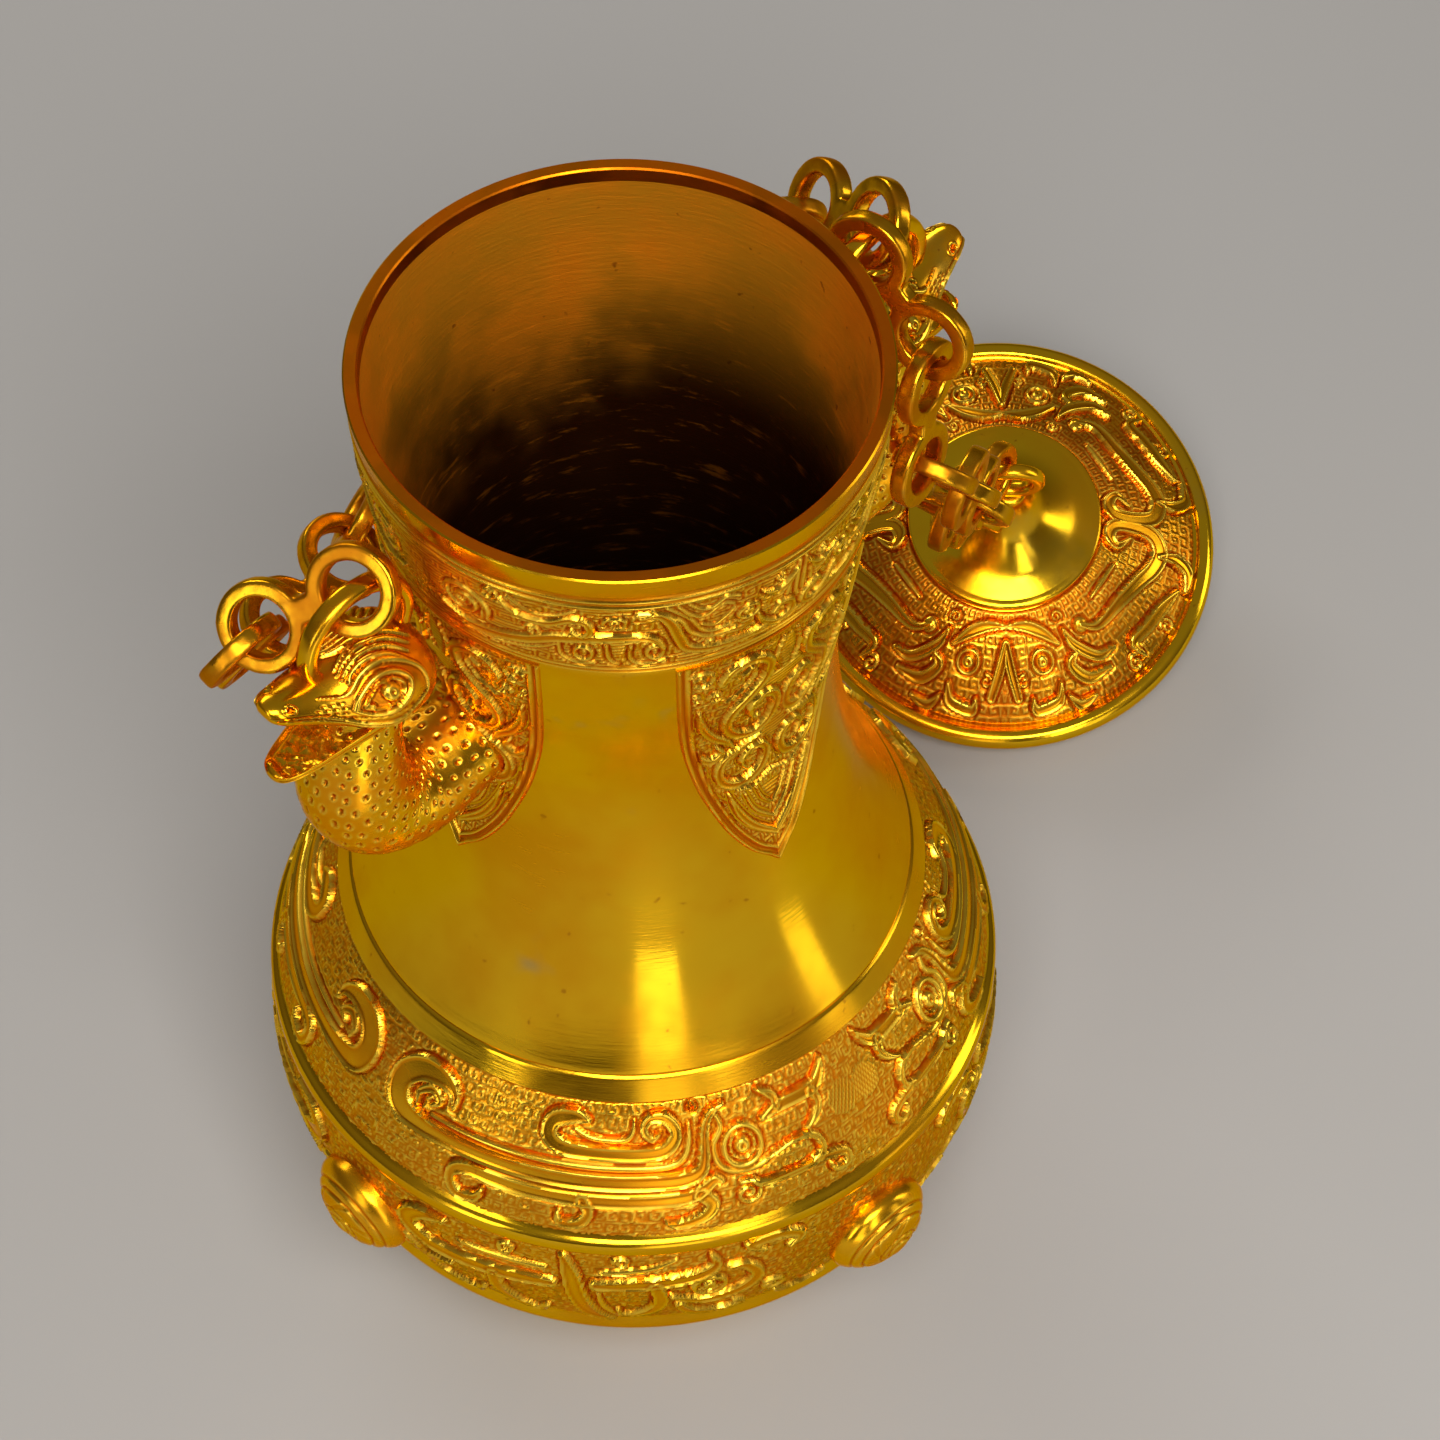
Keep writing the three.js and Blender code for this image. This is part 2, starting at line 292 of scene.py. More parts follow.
def carvedRing(name, line, plan, field, top, place=None):
    # a ring with a carved outer face, its two edges sunk below the surface it sits on
    order = quarterIndex(plan["columns"])
    height, gutter = field["height"][:, order], field["gutter"][:, order]
    rows, steps = height.shape
    backing = ringEdge["backing"]
    outer, length = evenly(line, rows)
    fromEdge = np.minimum(np.arange(rows), np.arange(rows)[::-1]) * length / (rows - 1)
    lift = (height + ringEdge["rise"]) * smoothStep(fromEdge / ringEdge["blend"])[:, None]
    lift = lift - ringEdge["sink"] * (1 - smoothStep(fromEdge / ringEdge["sinkWithin"]))[:, None]
    section = outer[:, None, :] + across(outer)[:, None, :] * lift[:, :, None]
    back = evenly(line, backing)[0]
    back = back[::-1] - across(back)[::-1] * ringEdge["thick"]
    section = np.concatenate([section, np.repeat(back[:, None, :], steps, 1)])
    angle = (stepsRound(steps) + math.radians(-90))[None, :]
    points = moved(aroundAxis(section[..., 0], angle, section[..., 1]).reshape(-1, 3), place)
    total = rows + backing
    i, j = np.meshgrid(np.arange(total), np.arange(steps), indexing="ij")
    meanRadius = outer[:, 0].mean()
    u0, u1 = (step / steps * turn * meanRadius for step in (j, j + 1))
    v0, v1 = (row * length / rows for row in (i, i + 1))
    corners = [np.stack(corner, -1) for corner in ((u0, v0), (u1, v0), (u1, v1), (u0, v1))]
    flat = np.stack(corners, 2).reshape(-1, 4, 2)
    marks = {key: np.vstack([values, np.zeros((backing, steps))]) for key, values in
             marksOf(height, gutter, top).items()}
    return makePiece(name, points, gridFaces(total, steps, True, True), flat=flat, marks=marks, sharp=70)


def quarterIndex(steps):
    # for each step round the ring, its place in a quarter that repeats mirrored
    j = np.arange(steps)
    half = steps // 2
    folded = j % half
    return np.where(folded <= half // 2, folded, half - folded)


def drawStrokes(field, strokes, perDegree, rise=0.7, bold=1.0):
    # strokes are given in degrees round the vessel and millimetres of height
    for kind, widths, points in strokes:
        line = curveThrough(withWidths(points, widths)) * [perDegree, 1, bold]
        if kind == "ridge":
            raiseRidge(field, line, rise * 0.72)
        else:
            raiseBand(field, line, rise, groove=0.12 if kind == "bandGrooved" else 0)


def spiralStrokes(field, spirals, perDegree, rise=0.5):
    for x, y, outer, inner, start, turns, width in spirals:
        line = spiral(x * perDegree, y, outer, inner, start, turns)
        raiseRidge(field, withWidths(line, [width, width * 0.7]), rise)


def addGround(field, pattern, rise):
    # the fine ground shows only outside the strokes, behind a narrow gutter sunk round each of them
    clear = smoothStep((field["cut"] - 0.3) / 0.4)
    gutter = np.exp(-((field["cut"] - 0.22) / 0.26) ** 2)
    sunk = np.maximum(field["height"], rise * pattern * clear) - 0.26 * gutter
    field["height"] = np.where(field["cut"] > 0.05, sunk, field["height"])
    field["gutter"] = gutter


def quarterField(plan, run):
    # a quarter turn laid flat, in millimetres round the vessel and millimetres of height
    heights = evenly(curveThrough(run), plan["rows"])[0][:, 1]
    around = np.linspace(0, 90 * plan["perDegree"], plan["columns"] // 4 + 1)
    return blankField(*np.meshgrid(around, heights))


# The vessel's outline, as runs of radius and height that meet in corners

vessel = {
    "steps": 256,
    "spacing": {"inside": 2.4, "foot": 0.9, "lower": 2, "upper": 2, "band": 3},
    "plainInset": 0.8,
    "carvedInset": 0.45,
    "foot": [(46.2, 0.5), (46.2, 3), (44.6, 7), (43.5, 11), (43.7, 14.5), (46.5, 17), (55, 22),
             (60.2, 27), (64, 32.4), (65, 34.5)],
    "bead": [(65, 34.5), (66.8, 35.6), (67.6, 37.4), (67.5, 39.4), (67.3, 40.6)],
    "lowerRegister": [(67.3, 40.6), (69.2, 45), (71.1, 52), (72, 60), (71.7, 67), (71.2, 71.8)],
    "fillet": [(71.2, 71.8), (72, 72.8), (71.9, 75.4), (70.6, 76.6)],
    "upperRegister": [(70.6, 76.6), (69, 82), (65.5, 90), (61.4, 97), (57, 104)],
    "neck": [(57, 104), (54.15, 109), (51.55, 114), (48.8, 120), (46.45, 126), (44.25, 133), (42.6, 140),
             (40.7, 150), (39.4, 160), (38.7, 170), (38.7, 180), (39.6, 190), (41.1, 200), (42.5, 210),
             (43.75, 220.4)],
    "incised": {"heights": (108.7,), "depth": 0.32, "width": 0.3},
    "neckBand": [(43.75, 220.4), (45.7, 235), (46.75, 245.4)],
    "rim": [(46.75, 245.4), (47.2, 249.7)],
    "lip": [(47.2, 249.7), (46.9, 250), (44.9, 250), (44.6, 249.7)],
    "inside": [(44.6, 249.7), (43.1, 235), (41, 220), (38.3, 200), (35.8, 180), (36.4, 160), (40.3, 140),
               (45.8, 120), (53.4, 105), (62.3, 90), (67.6, 76), (69, 60), (66.2, 45), (60.6, 31.5),
               (52.5, 24.5), (42, 19.5), (40.4, 15), (40.4, 3.3)],
    "seat": [(40.4, 3.3), (42.6, 3.3), (42.6, 0), (46, 0), (46.2, 0.5)],
}


def inset(run, depth):
    line = curveThrough(run)
    return line - across(line) * depth


def neckLine():
    # the shoulder and neck in one sweep, closely drawn where the line is cut round the shoulder
    line = curveThrough(vessel["neck"], 24)
    close = evenly(line, 1600)[0]
    cut = vessel["incised"]
    depth = sum(cut["depth"] * np.exp(-((close[:, 1] - h) / cut["width"]) ** 2) for h in cut["heights"])
    near = depth > 0.002
    keep = near | (np.arange(len(close)) % 14 == 0)
    keep[-1] = True
    return (close - across(close) * depth[:, None])[keep]


def vesselOutline():
    deep = vessel["plainInset"]
    runs = [
        curveThrough(vessel["foot"]), curveThrough(vessel["bead"]), inset(vessel["lowerRegister"], deep),
        curveThrough(vessel["fillet"]), inset(vessel["upperRegister"], deep), neckLine(),
        inset(vessel["neckBand"], deep),
        np.array(vessel["rim"]), np.array(vessel["lip"]), curveThrough(vessel["inside"]),
        np.array(vessel["seat"])[:-1],
    ]
    names = ["foot", "bead", "lower", "fillet", "upper", "neck", "band", "rim", "lip", "inside", "seat"]
    points, tags = [], []
    for name, run in zip(names, runs):
        for point in run:
            if not points or np.linalg.norm(point - points[-1]) > vessel["spacing"].get(name, 0.25):
                points.append(point)
                tags.append(name)
    return np.array(points), tags


def makeVessel():
    outline, tags = vesselOutline()
    piece = turnedRing("vessel_wall", outline, vessel["steps"], sharp=30)
    inner = [i for i, tag in enumerate(tags) if tag == "inside"]
    lip = [i for i, tag in enumerate(tags) if tag == "lip"]
    rowOf = np.repeat(np.arange(len(outline)), vessel["steps"])
    slot = np.where(np.isin(rowOf, inner), 1, np.where(np.isin(rowOf, lip), 2, 0))
    piece.data.polygons.foreach_set("material_index", slot.astype(np.int32))
    return piece


# The beasts of the upper register, one to a quarter turn, in degrees from where two heads meet

upperBeast = {
    "columns": 1104,
    "rows": 85,
    "perDegree": 1.134,
    "rise": 0.95,
    "bold": 1.25,
    "ground": {"cell": 2.6, "rounds": 1.3, "rise": 0.3},
    "strokes": [
        ("bandGrooved", [0.5, 1.1, 1.6, 2.0, 2.3, 2.3, 2.1, 1.7, 1.4, 1.4, 1.4, 1.4, 1.2, 1.0, 0.9, 0.7,
                         0.35], [
            (74.2, 95.4), (75, 98), (78, 99.4), (82, 99), (85, 96.5), (85.6, 93.3), (84, 90.3),
            (80, 89.3), (74, 89.2), (57, 89.3), (40, 89.3), (33.4, 89.3), (30.2, 90.6), (29.2, 94),
            (28.8, 97.5), (27.4, 100.5), (24.8, 101.7)]),
        ("band", [0.35, 0.8, 0.8, 0.4], [(81, 92.6), (81.2, 95), (79, 96.6), (77, 95.2), (78.4, 93.8)]),
        ("ridge", [0.3, 0.5, 0.55, 0.55, 0.5, 0.3], [
            (78, 91.9), (60, 91.95), (45, 91.95), (36, 92), (32.8, 93.4),
                                                    (31.6, 96.5), (31.4, 99.4)]),
        ("ridge", [0.3, 0.4, 0.4, 0.3], [(68, 87.4), (54, 87.45), (42, 87.4), (33, 87.6)]),
        ("band", [0.4, 0.9, 1.0, 1.0, 1.1, 1.25, 1.25, 1.25, 1.25, 1.25, 1.1, 0.9, 0.4], [
            (66.4, 82.2), (67.4, 80), (70.3, 79.3), (71.8, 81.5), (71.6, 84.2), (69.2, 85.6), (65, 85.6),
            (57, 85.5), (42, 85.5), (33, 85.7), (30, 87), (28.2, 88.3), (26.8, 87.6)]),
        ("band", [1.2, 1.2, 1.1, 0.9, 0.3], [
            (30.6, 85.9), (28.9, 83.5), (30.4, 81), (34.4, 79.8), (36.4, 80.5)]),
        ("band", [1.1, 1.0, 1.0, 0.8, 0.35], [
            (49.8, 85.4), (48.8, 82.8), (50.2, 80.2), (53.2, 79.9), (53.6, 82.2)]),
        ("band", [0.4, 1.2, 1.5, 1.5, 1.35, 1.2, 1.2, 1.2, 1.15, 1.0, 0.85, 0.75, 0.6, 0.3], [
            (49.2, 100.4), (52, 101), (55.6, 99.9), (56.3, 97.2), (54, 95.3), (48, 94.8), (38, 94.8),
            (35, 96), (33.9, 98.4), (35.5, 100.8), (38.3, 101), (39.5, 99), (38, 97.4), (36.6, 98.4)]),
        ("ridge", [0.35, 0.45, 0.45, 0.4, 0.3], [
            (51.8, 98.7), (48.5, 97.3), (43, 97.2), (41.4, 98.6), (41.2, 100.6)]),
        ("ridge", [0.4, 0.6, 0.6, 0.6, 0.6, 0.4], [
            (26.4, 100), (25.8, 97.6), (27.6, 94.6), (27, 91), (24.4, 88.9),
                                                  (20, 88.7), (17.2, 90.4)]),
        ("band", [0.5, 1.0, 1.15, 1.1, 0.8, 0.3], [
            (18.2, 97), (14.6, 98.1), (10, 98.3), (7, 98.6), (5.2, 100.4), (4.2, 102.4)]),
        ("band", [0.9, 0.8, 0.3], [(15.2, 98.6), (15.6, 100.5), (18, 102.2)]),
        ("band", [0.9, 0.8, 0.6, 0.3], [(8.2, 98), (7.5, 95.6), (8.7, 93.4), (10.8, 91.9)]),
        ("band", [0.5, 0.65, 0.7, 0.7, 0.7, 0.6, 0.5, 0.3], [
            (21.6, 86), (20, 84.9), (12, 84.7), (9.3, 86.1), (9.2, 88.6), (10.6, 90.4), (14, 90.8),
            (18.6, 89.6)]),
        ("band", [0.8, 0.8, 0.8, 0.7, 0.55, 0.3], [
            (9.8, 84.9), (7.6, 84.4), (5.3, 83.2), (5.5, 81), (7.7, 80.8),
                                                  (8.2, 82.6)]),
    ],
    "spirals": [(22.8, 83.6, 2.7, 0.5, 70, 1.6, 0.55), (30.4, 102, 1.0, 0.3, 0, 1.0, 0.3)],
    "eye": {"x": 22.5, "y": 93.4, "ring": 3.75, "inner": 2.5, "boss": 1.6},
    "hatch": {"x": 2.6, "y": 93.3, "radius": 3.4},
}


def carveRegister(name, plan, run):
    # one beast drawn on a quarter, then mirrored round the vessel
    perDegree = plan["perDegree"]
    field = quarterField(plan, run)
    drawStrokes(field, plan["strokes"], perDegree, plan["rise"], plan["bold"])
    spiralStrokes(field, plan["spirals"], perDegree, plan["rise"] * 0.85)
    eye = plan["eye"]
    eyeX = eye["x"] * perDegree
    raiseRing(field, eyeX, eye["y"], eye["ring"], 0.62, plan["rise"])
    raiseRing(field, eyeX, eye["y"], eye["inner"], 0.3, plan["rise"] * 0.6)
    boss(field, eyeX, eye["y"], eye["boss"], 1.15, 0.55)
    shift = 0.35 * wandering(field["x"], field["y"], 6, 5)
    squares = plan["ground"]
    ground = leiwen(field["x"] - 0.4 + shift, field["y"] + shift, squares["cell"], squares["rounds"])
    ground = ground * (0.8 + 0.6 * wandering(field["x"], field["y"], 4, 7))
    ground = ground + 0.1 * np.random.default_rng(3).standard_normal(ground.shape)
    if "hatch" in plan:
        spot = plan["hatch"]
        away = np.hypot(field["x"] - spot["x"] * perDegree, field["y"] - spot["y"])
        lines = 0.9 + 0.5 * np.cos((field["x"] + 0.5 * field["y"]) * turn / 0.9)
        ground = np.where(away < spot["radius"], lines, ground)
    addGround(field, ground, squares["rise"])
    return carvedRing(name, inset(run, vessel["carvedInset"]), plan, field, 0.9)


# The beasts of the lower register, walking from one boss to the next

lowerBeast = {
    "columns": 1040,
    "rows": 82,
    "perDegree": 1.23,
    "rise": 0.95,
    "bold": 1.1,
    "ground": {"cell": 2.8, "rounds": 1.3, "rise": 0.3},
    "strokes": [
        ("bandGrooved", [0.5, 1.7, 2.1, 2.1, 1.9, 1.8, 1.3], [
            (72.4, 68.8), (77, 67), (79.4, 62.6), (75.4, 58.6), (68, 58.8), (60, 59.8), (54.6, 60.3)]),
        ("bandGrooved", [1.3, 1.7, 1.7, 1.6, 1.2, 0.4], [
            (47.6, 61.2), (42, 61.8), (38, 62.2), (32, 63.4), (29, 66), (29.6, 69.8)]),
        ("ridge", [0.4, 0.75, 0.7, 0.4], [(70, 64.2), (64, 64.4), (58, 64.6), (55.4, 64.8)]),
        ("ridge", [0.4, 0.75, 0.7, 0.4], [(47, 65.4), (43, 65.9), (39, 66.8), (35, 69.2)]),
        ("bandGrooved", [0.9, 1.8, 1.9, 1.8, 0.9], [
            (52.6, 70), (51.4, 63.6), (50.4, 55), (48.4, 47), (45.4, 42.6)]),
        ("band", [1.3, 1.6, 1.5, 1.2, 0.5], [
            (64, 58), (63.4, 51.6), (61, 46.6), (57.4, 44.4), (55.6, 47.6)]),
        ("band", [1.4, 1.5, 1.3, 0.8, 0.4], [
            (38.4, 61), (37.6, 54.6), (39.4, 49.4), (43.4, 46.8), (44.4, 50)]),
        ("band", [0.5, 1.3, 1.5, 1.4, 1.2, 0.5], [
            (36, 56.4), (31.4, 53.4), (25.4, 54.6), (22.4, 58.8), (24, 63.4),
                                                 (27, 64.6)]),
        ("band", [0.5, 1.3, 1.4, 1.1, 0.5], [
            (71.4, 54), (75.6, 50.6), (73.6, 45.6), (68.4, 44), (66.4, 47.4)]),
        ("band", [0.5, 1.2, 1.3, 1.1, 0.5], [
            (21, 67), (23.4, 69.8), (18.6, 70.2), (15, 67.6), (17, 65.2)]),
        ("band", [1.1, 1.3, 1.2, 0.9, 0.4], [
            (34.6, 51.6), (32.8, 47), (28.4, 44.2), (24.4, 46), (26, 49)]),
        ("band", [0.5, 1.2, 1.2, 0.5], [(18.8, 46.8), (16, 43.4), (11.2, 42.8), (9.6, 45)]),
        ("ridge", [0.4, 0.7, 0.7, 0.4], [(47.4, 57), (46.6, 51), (44.6, 46.4), (42, 43.4)]),
    ],
    "spirals": [(19.6, 50.6, 2.8, 0.6, 60, 1.4, 0.7), (80.6, 52, 2.9, 0.6, 200, -1.5, 0.7),
                (61.6, 68.2, 2.0, 0.5, 270, 1.2, 0.6), (43.6, 68.8, 1.7, 0.5, 0, 1.2, 0.5)],
    "eye": {"x": 30, "y": 58.9, "ring": 3.1, "inner": 2.1, "boss": 1.4},
}


# The band of low relief under the rim, drawn in fine parallel lines

neckBeast = {
    "ground": {"cell": 3.0, "rounds": 1.5, "rise": 0.3},
    "columns": 960,
    "rows": 92,
    "perDegree": 0.785,
    "rise": 0.55,
    "edges": [243.6, 241.9, 222.2, 220.9],
    "strokes": [
        ("band", [0.5, 1.1, 1.2, 1.1, 1.0, 0.4], [
            (38, 239.8), (33.6, 239), (31, 236), (29, 230.6), (27, 227), (21, 225.3), (13, 225.1),
            (8.4, 226.4)]),
        ("ridge", [0.3, 0.4, 0.4, 0.3], [
            (35, 240.6), (29.2, 236.4), (26.6, 231.6), (22, 228.9), (16, 229.2)]),
        ("ridge", [0.3, 0.4, 0.4, 0.3], [
            (32, 240.8), (27, 236.2), (24.2, 231.8), (20.6, 230.5), (17.6, 231.4)]),
        ("ridge", [0.3, 0.4, 0.4, 0.3], [
            (29.6, 240.6), (26.8, 237.4), (23.8, 236.2), (20, 238.4), (17.2, 237.2)]),
        ("ridge", [0.3, 0.4, 0.4, 0.3], [
            (27.2, 240.8), (25.2, 238.9), (22.4, 238.2), (19, 240.2), (16, 239)]),
        ("ridge", [0.3, 0.4, 0.3], [(24.4, 233.8), (21.4, 232.6), (18.6, 234.4), (17, 236)]),
        ("band", [0.3, 0.8, 0.9, 0.4], [(10.4, 237.4), (7.4, 235.4), (4.4, 235.6), (1.6, 238.6)]),
        ("band", [0.3, 0.9, 0.9, 0.8, 0.4], [
            (11, 231.2), (9.6, 227.8), (5.6, 224.9), (2, 226.2), (2.2, 229), (5.2, 230.3), (7, 228.6)]),
        ("ridge", [0.35, 0.4, 0.3], [(3.4, 231.6), (2.8, 236)]),
        ("ridge", [0.35, 0.4, 0.3], [(0.9, 230.6), (0.9, 240.4)]),
        ("band", [0.35, 0.9, 0.9, 0.8, 0.4], [
            (67.6, 238.6), (64.6, 235.8), (57.6, 235.4), (52.4, 237.6), (49, 237), (48.2, 234.4),
            (50, 232.6), (52.2, 234)]),
        ("ridge", [0.3, 0.35, 0.3], [(66, 240.2), (61, 237.4), (56, 237.8), (51, 240.2)]),
        ("band", [0.4, 1.1, 1.3, 1.3, 1.2, 0.9, 0.4], [
            (84, 228.4), (78, 226.2), (71, 226.5), (62.6, 228.5), (55.6, 231.2), (47.6, 232.3),
            (38, 232.6), (34.2, 231.2), (32.4, 228.4)]),
        ("ridge", [0.3, 0.35, 0.3], [(78, 224), (68, 224.4), (60, 226.4), (56, 228.6)]),
        ("ridge", [0.3, 0.4, 0.3], [(55.4, 229.6), (55, 225.4), (51.8, 223.6), (47.6, 223.8)]),
        ("ridge", [0.3, 0.4, 0.3], [(45, 229.6), (44.4, 225.2), (42.4, 223.6)]),
        ("ridge", [0.3, 0.4, 0.3], [(39.6, 229.4), (39.8, 225.4), (37.4, 223.6), (32, 223.8)]),
    ],
    "spirals": [(77.6, 232.6, 5.0, 0.7, 200, -1.8, 0.55), (61, 231.6, 1.6, 0.3, 30, 1.3, 0.35),
                (42.6, 236.8, 2.2, 0.4, 0, 1.5, 0.38), (22, 227, 0.9, 0.3, 0, 1, 0.28),
                (6, 238.6, 1.1, 0.3, 90, 1.2, 0.3), (70.4, 239, 1.8, 0.4, 90, 1.4, 0.36)],
    "ovals": [(50, 226.9, 1.5, 2.1), (34.4, 227.2, 1.4, 2.0)],
    "eye": {"x": 13.4, "y": 233, "ring": 1.9, "boss": 1.15},
}


def carveNeck():
    plan = neckBeast
    perDegree, rise = plan["perDegree"], plan["rise"]
    field = quarterField(plan, vessel["neckBand"])
    drawStrokes(field, plan["strokes"], perDegree, rise)
    spiralStrokes(field, plan["spirals"], perDegree, rise * 0.9)
    for x, y, wide, tall in plan["ovals"]:
        oval = ringLine(0, 0, 1) * [wide, tall] + [x * perDegree, y]
        raiseRidge(field, withWidths(oval, [0.4]), rise)
    eye = plan["eye"]
    raiseRing(field, eye["x"] * perDegree, eye["y"], eye["ring"], 0.4, rise)
    boss(field, eye["x"] * perDegree, eye["y"], eye["boss"], 0.6, 0.3)
    lines = 0.5 + 0.5 * np.cos((field["y"] + 0.35 * np.sin(field["x"] / 2.6)) * turn / 0.98)
    ground = plan["ground"]
    squares = leiwen(field["x"], field["y"] - 0.3, ground["cell"], ground["rounds"])
    mix = smoothStep(wandering(field["x"], field["y"], 9, 3) * 2 + 0.5)
    addGround(field, lines * mix + squares * (1 - mix), ground["rise"])
    toEdge = np.minimum.reduce([np.abs(field["y"] - h) for h in plan["edges"]])
    outer = (field["y"] > plan["edges"][1] - 0.4) | (field["y"] < plan["edges"][2] + 0.4)
    edging, valley = 0.5 * np.exp(-(toEdge / 0.4) ** 2), 0.6 * np.exp(-((toEdge - 0.75) / 0.25) ** 2)
    field["height"] = np.where(outer, edging, field["height"])
    field["gutter"] = np.where(outer, valley, field["gutter"])
    return carvedRing("neck_band", inset(vessel["neckBand"], 0.3), plan, field, 0.6)


# The four hanging leaves on the neck, mirrored about their own middle

leaf = {
    "columns": 109,
    "rows": 216,
    "perDegree": 0.733,
    "rise": 0.85,
    "top": 220.2,
    "tip": 146.2,
    "halfDegrees": [(146.2, 0.3), (149, 3.6), (153, 8.6), (160, 14.4), (167, 18.6), (175, 22.6),
                    (184, 25.8), (193, 28), (205, 29.3), (220.2, 30)],
    "azimuths": [-90, 0, 90, 180],
    "strokes": [
        ("band", [0.9, 1.1, 1.2, 1.2, 1.2, 1.2, 1.1, 0.8, 0.4], [
            (18.4, 212), (15.6, 215.4), (10.4, 216), (6.2, 213), (6.4, 208), (10.4, 203.8), (14.6, 200),
            (15.8, 195.6), (13, 191.4), (7.6, 189.4), (3, 191.4), (1.6, 196), (3, 200), (6.4, 201.4),
            (9.2, 199.2), (9, 195.8), (6.4, 194.8)]),
        ("ridge", [0.3, 0.4, 0.3], [(13, 211.6), (10.6, 213), (9.4, 210.6), (12, 207.2), (17, 204.4)]),
        ("band", [0.4, 1.0, 1.1, 0.9, 0.4], [
            (23.6, 203.6), (22.4, 198), (19.6, 193.6), (15.4, 190), (12.8, 186.6)]),
        ("band", [0.4, 0.8, 0.9, 0.8, 0.4], [
            (24, 191), (22.6, 187.4), (19.4, 185), (16.4, 186.6), (17.8, 189)]),
        ("band", [0.5, 1.0, 1.2, 1.2, 1.1, 0.8, 0.4], [
            (5, 187.4), (10, 185.9), (15.4, 183.4), (16.8, 179.4), (14.8, 175.6), (9.8, 173.9),
            (4.4, 175.6), (2.4, 179.8), (4.2, 183), (7.8, 183.4), (10.2, 180.6), (8.6, 178)]),
        ("ridge", [0.35, 0.45, 0.3], [(20.6, 182), (20, 176.6), (17, 171.4), (14.4, 169)]),
        ("band", [0.35, 0.9, 0.9, 0.7], [(13.6, 171.6), (11, 165.6), (6.8, 160), (0, 154.6)]),
        ("ridge", [0.35, 0.45, 0.35], [(8.6, 169.4), (5.6, 163.4), (0, 158.6)]),
        ("ridge", [0.3, 0.4, 0.3], [(5, 169.6), (3, 165.4), (0, 162.6)]),
        ("ridge", [0.35, 0.4, 0.3], [(11, 171.6), (5.6, 170.6), (0, 172.6)]),
        ("ridge", [0.3, 0.4, 0.3], [(2, 207), (3.6, 212), (2, 217.6)]),
    ],
    "spirals": [(23.6, 214.6, 2.9, 0.5, 20, 1.6, 0.42), (19.4, 207.6, 1.7, 0.4, 90, -1.3, 0.42),
                (24.6, 208.6, 1.2, 0.3, 0, 1.2, 0.32)],
    "hatches": [(0, 212, 3.2, 5.5), (0, 204, 4.6, 3.2), (0, 185, 4.4, 4.2), (0, 166.6, 4.0, 3.0)],
    "ground": {"cell": 2.9, "rounds": 1.5, "rise": 0.32},
    "borders": [(0.8, 0.42, 0.75), (2.3, 0.36, 0.6)],
    "grooves": [(1.6, 0.3), (3.0, 0.3)],
    "borderWide": 2.9,
}


def makeLeaf(number, azimuth):
    plan = leaf
    rows, columns = plan["rows"], plan["columns"]
    line = evenly(curveThrough(vessel["neck"]), 600)[0]
    keep = (line[:, 1] >= plan["tip"]) & (line[:, 1] <= plan["top"])
    line, length = evenly(line[keep], rows)
    half = np.interp(line[:, 1], *curveThrough(plan["halfDegrees"]).T)
    s = np.linspace(-1, 1, columns)
    degrees = half[:, None] * s[None, :]
    heights = np.broadcast_to(line[:, 1:], degrees.shape)
    field = blankField(np.abs(degrees) * plan["perDegree"], heights)
    drawStrokes(field, plan["strokes"], plan["perDegree"], plan["rise"])
    spiralStrokes(field, plan["spirals"], plan["perDegree"], plan["rise"] * 0.8)
    slope = np.gradient(np.radians(half) * line[:, 0], length / (rows - 1))
    halfWide = (np.radians(half) * line[:, 0] / np.hypot(1, slope))[:, None]
    fromEdge, fromTop = (1 - np.abs(s))[None, :] * halfWide, plan["top"] - heights
    squares = plan["ground"]
    ground = leiwen(field["x"], heights, squares["cell"], squares["rounds"])
    for x, y, wide, tall in plan["hatches"]:
        inPatch = np.hypot((field["x"] - x) / wide, (heights - y) / tall) < 1
        ground = np.where(inPatch, 0.55 + 0.45 * np.cos(heights * turn / 1.05), ground)
    addGround(field, ground, squares["rise"])
    border = sum(rise * np.exp(-((fromEdge - at) / wide) ** 2) for at, wide, rise in plan["borders"])
    height = np.where(fromEdge < plan["borderWide"], border, field["height"])
    valley = sum(np.exp(-((fromEdge - at) / wide) ** 2) for at, wide in plan["grooves"])
    gutter = np.where(fromEdge < plan["borderWide"] + 0.3, valley, field["gutter"])
    height = np.where(fromTop < 0.8, 0.3, height)
    edge = smoothStep(np.minimum(fromEdge, fromTop + 0.3) / 0.35)
    lift = (height + 0.06) * edge - 0.7 * (1 - edge)
    backing = np.linspace(1, -1, 9)
    sections = []
    for (r, z), (out, up), wide, raised in zip(line, across(line), half, lift):
        angles = np.radians(azimuth + np.r_[wide * s, wide * backing])
        raised = np.r_[raised, np.full(len(backing), -1.2)]
        sections.append(aroundAxis(r + out * raised, angles, z + up * raised))
    count = columns + len(backing)
    last = (rows - 1) * count
    caps = [list(range(count))[::-1], list(range(last, last + count))]
    bare = np.zeros((rows, len(backing)))
    marks = {key: np.hstack([values, bare]) for key, values in marksOf(height, gutter, 0.6).items()}
    i, j = np.divmod(np.arange(rows * count), count)
    patternX = np.r_[plan["perDegree"] * 30 * s, backing * 20][j] + 60
    flat = np.stack([patternX, i * length / rows], 1)
    quads = gridFaces(rows, count, False, True)
    points = np.vstack(sections)
    return makePiece(f"neck_leaf_{number}", points, quads, caps, flat=flat[quads], marks=marks, sharp=70)


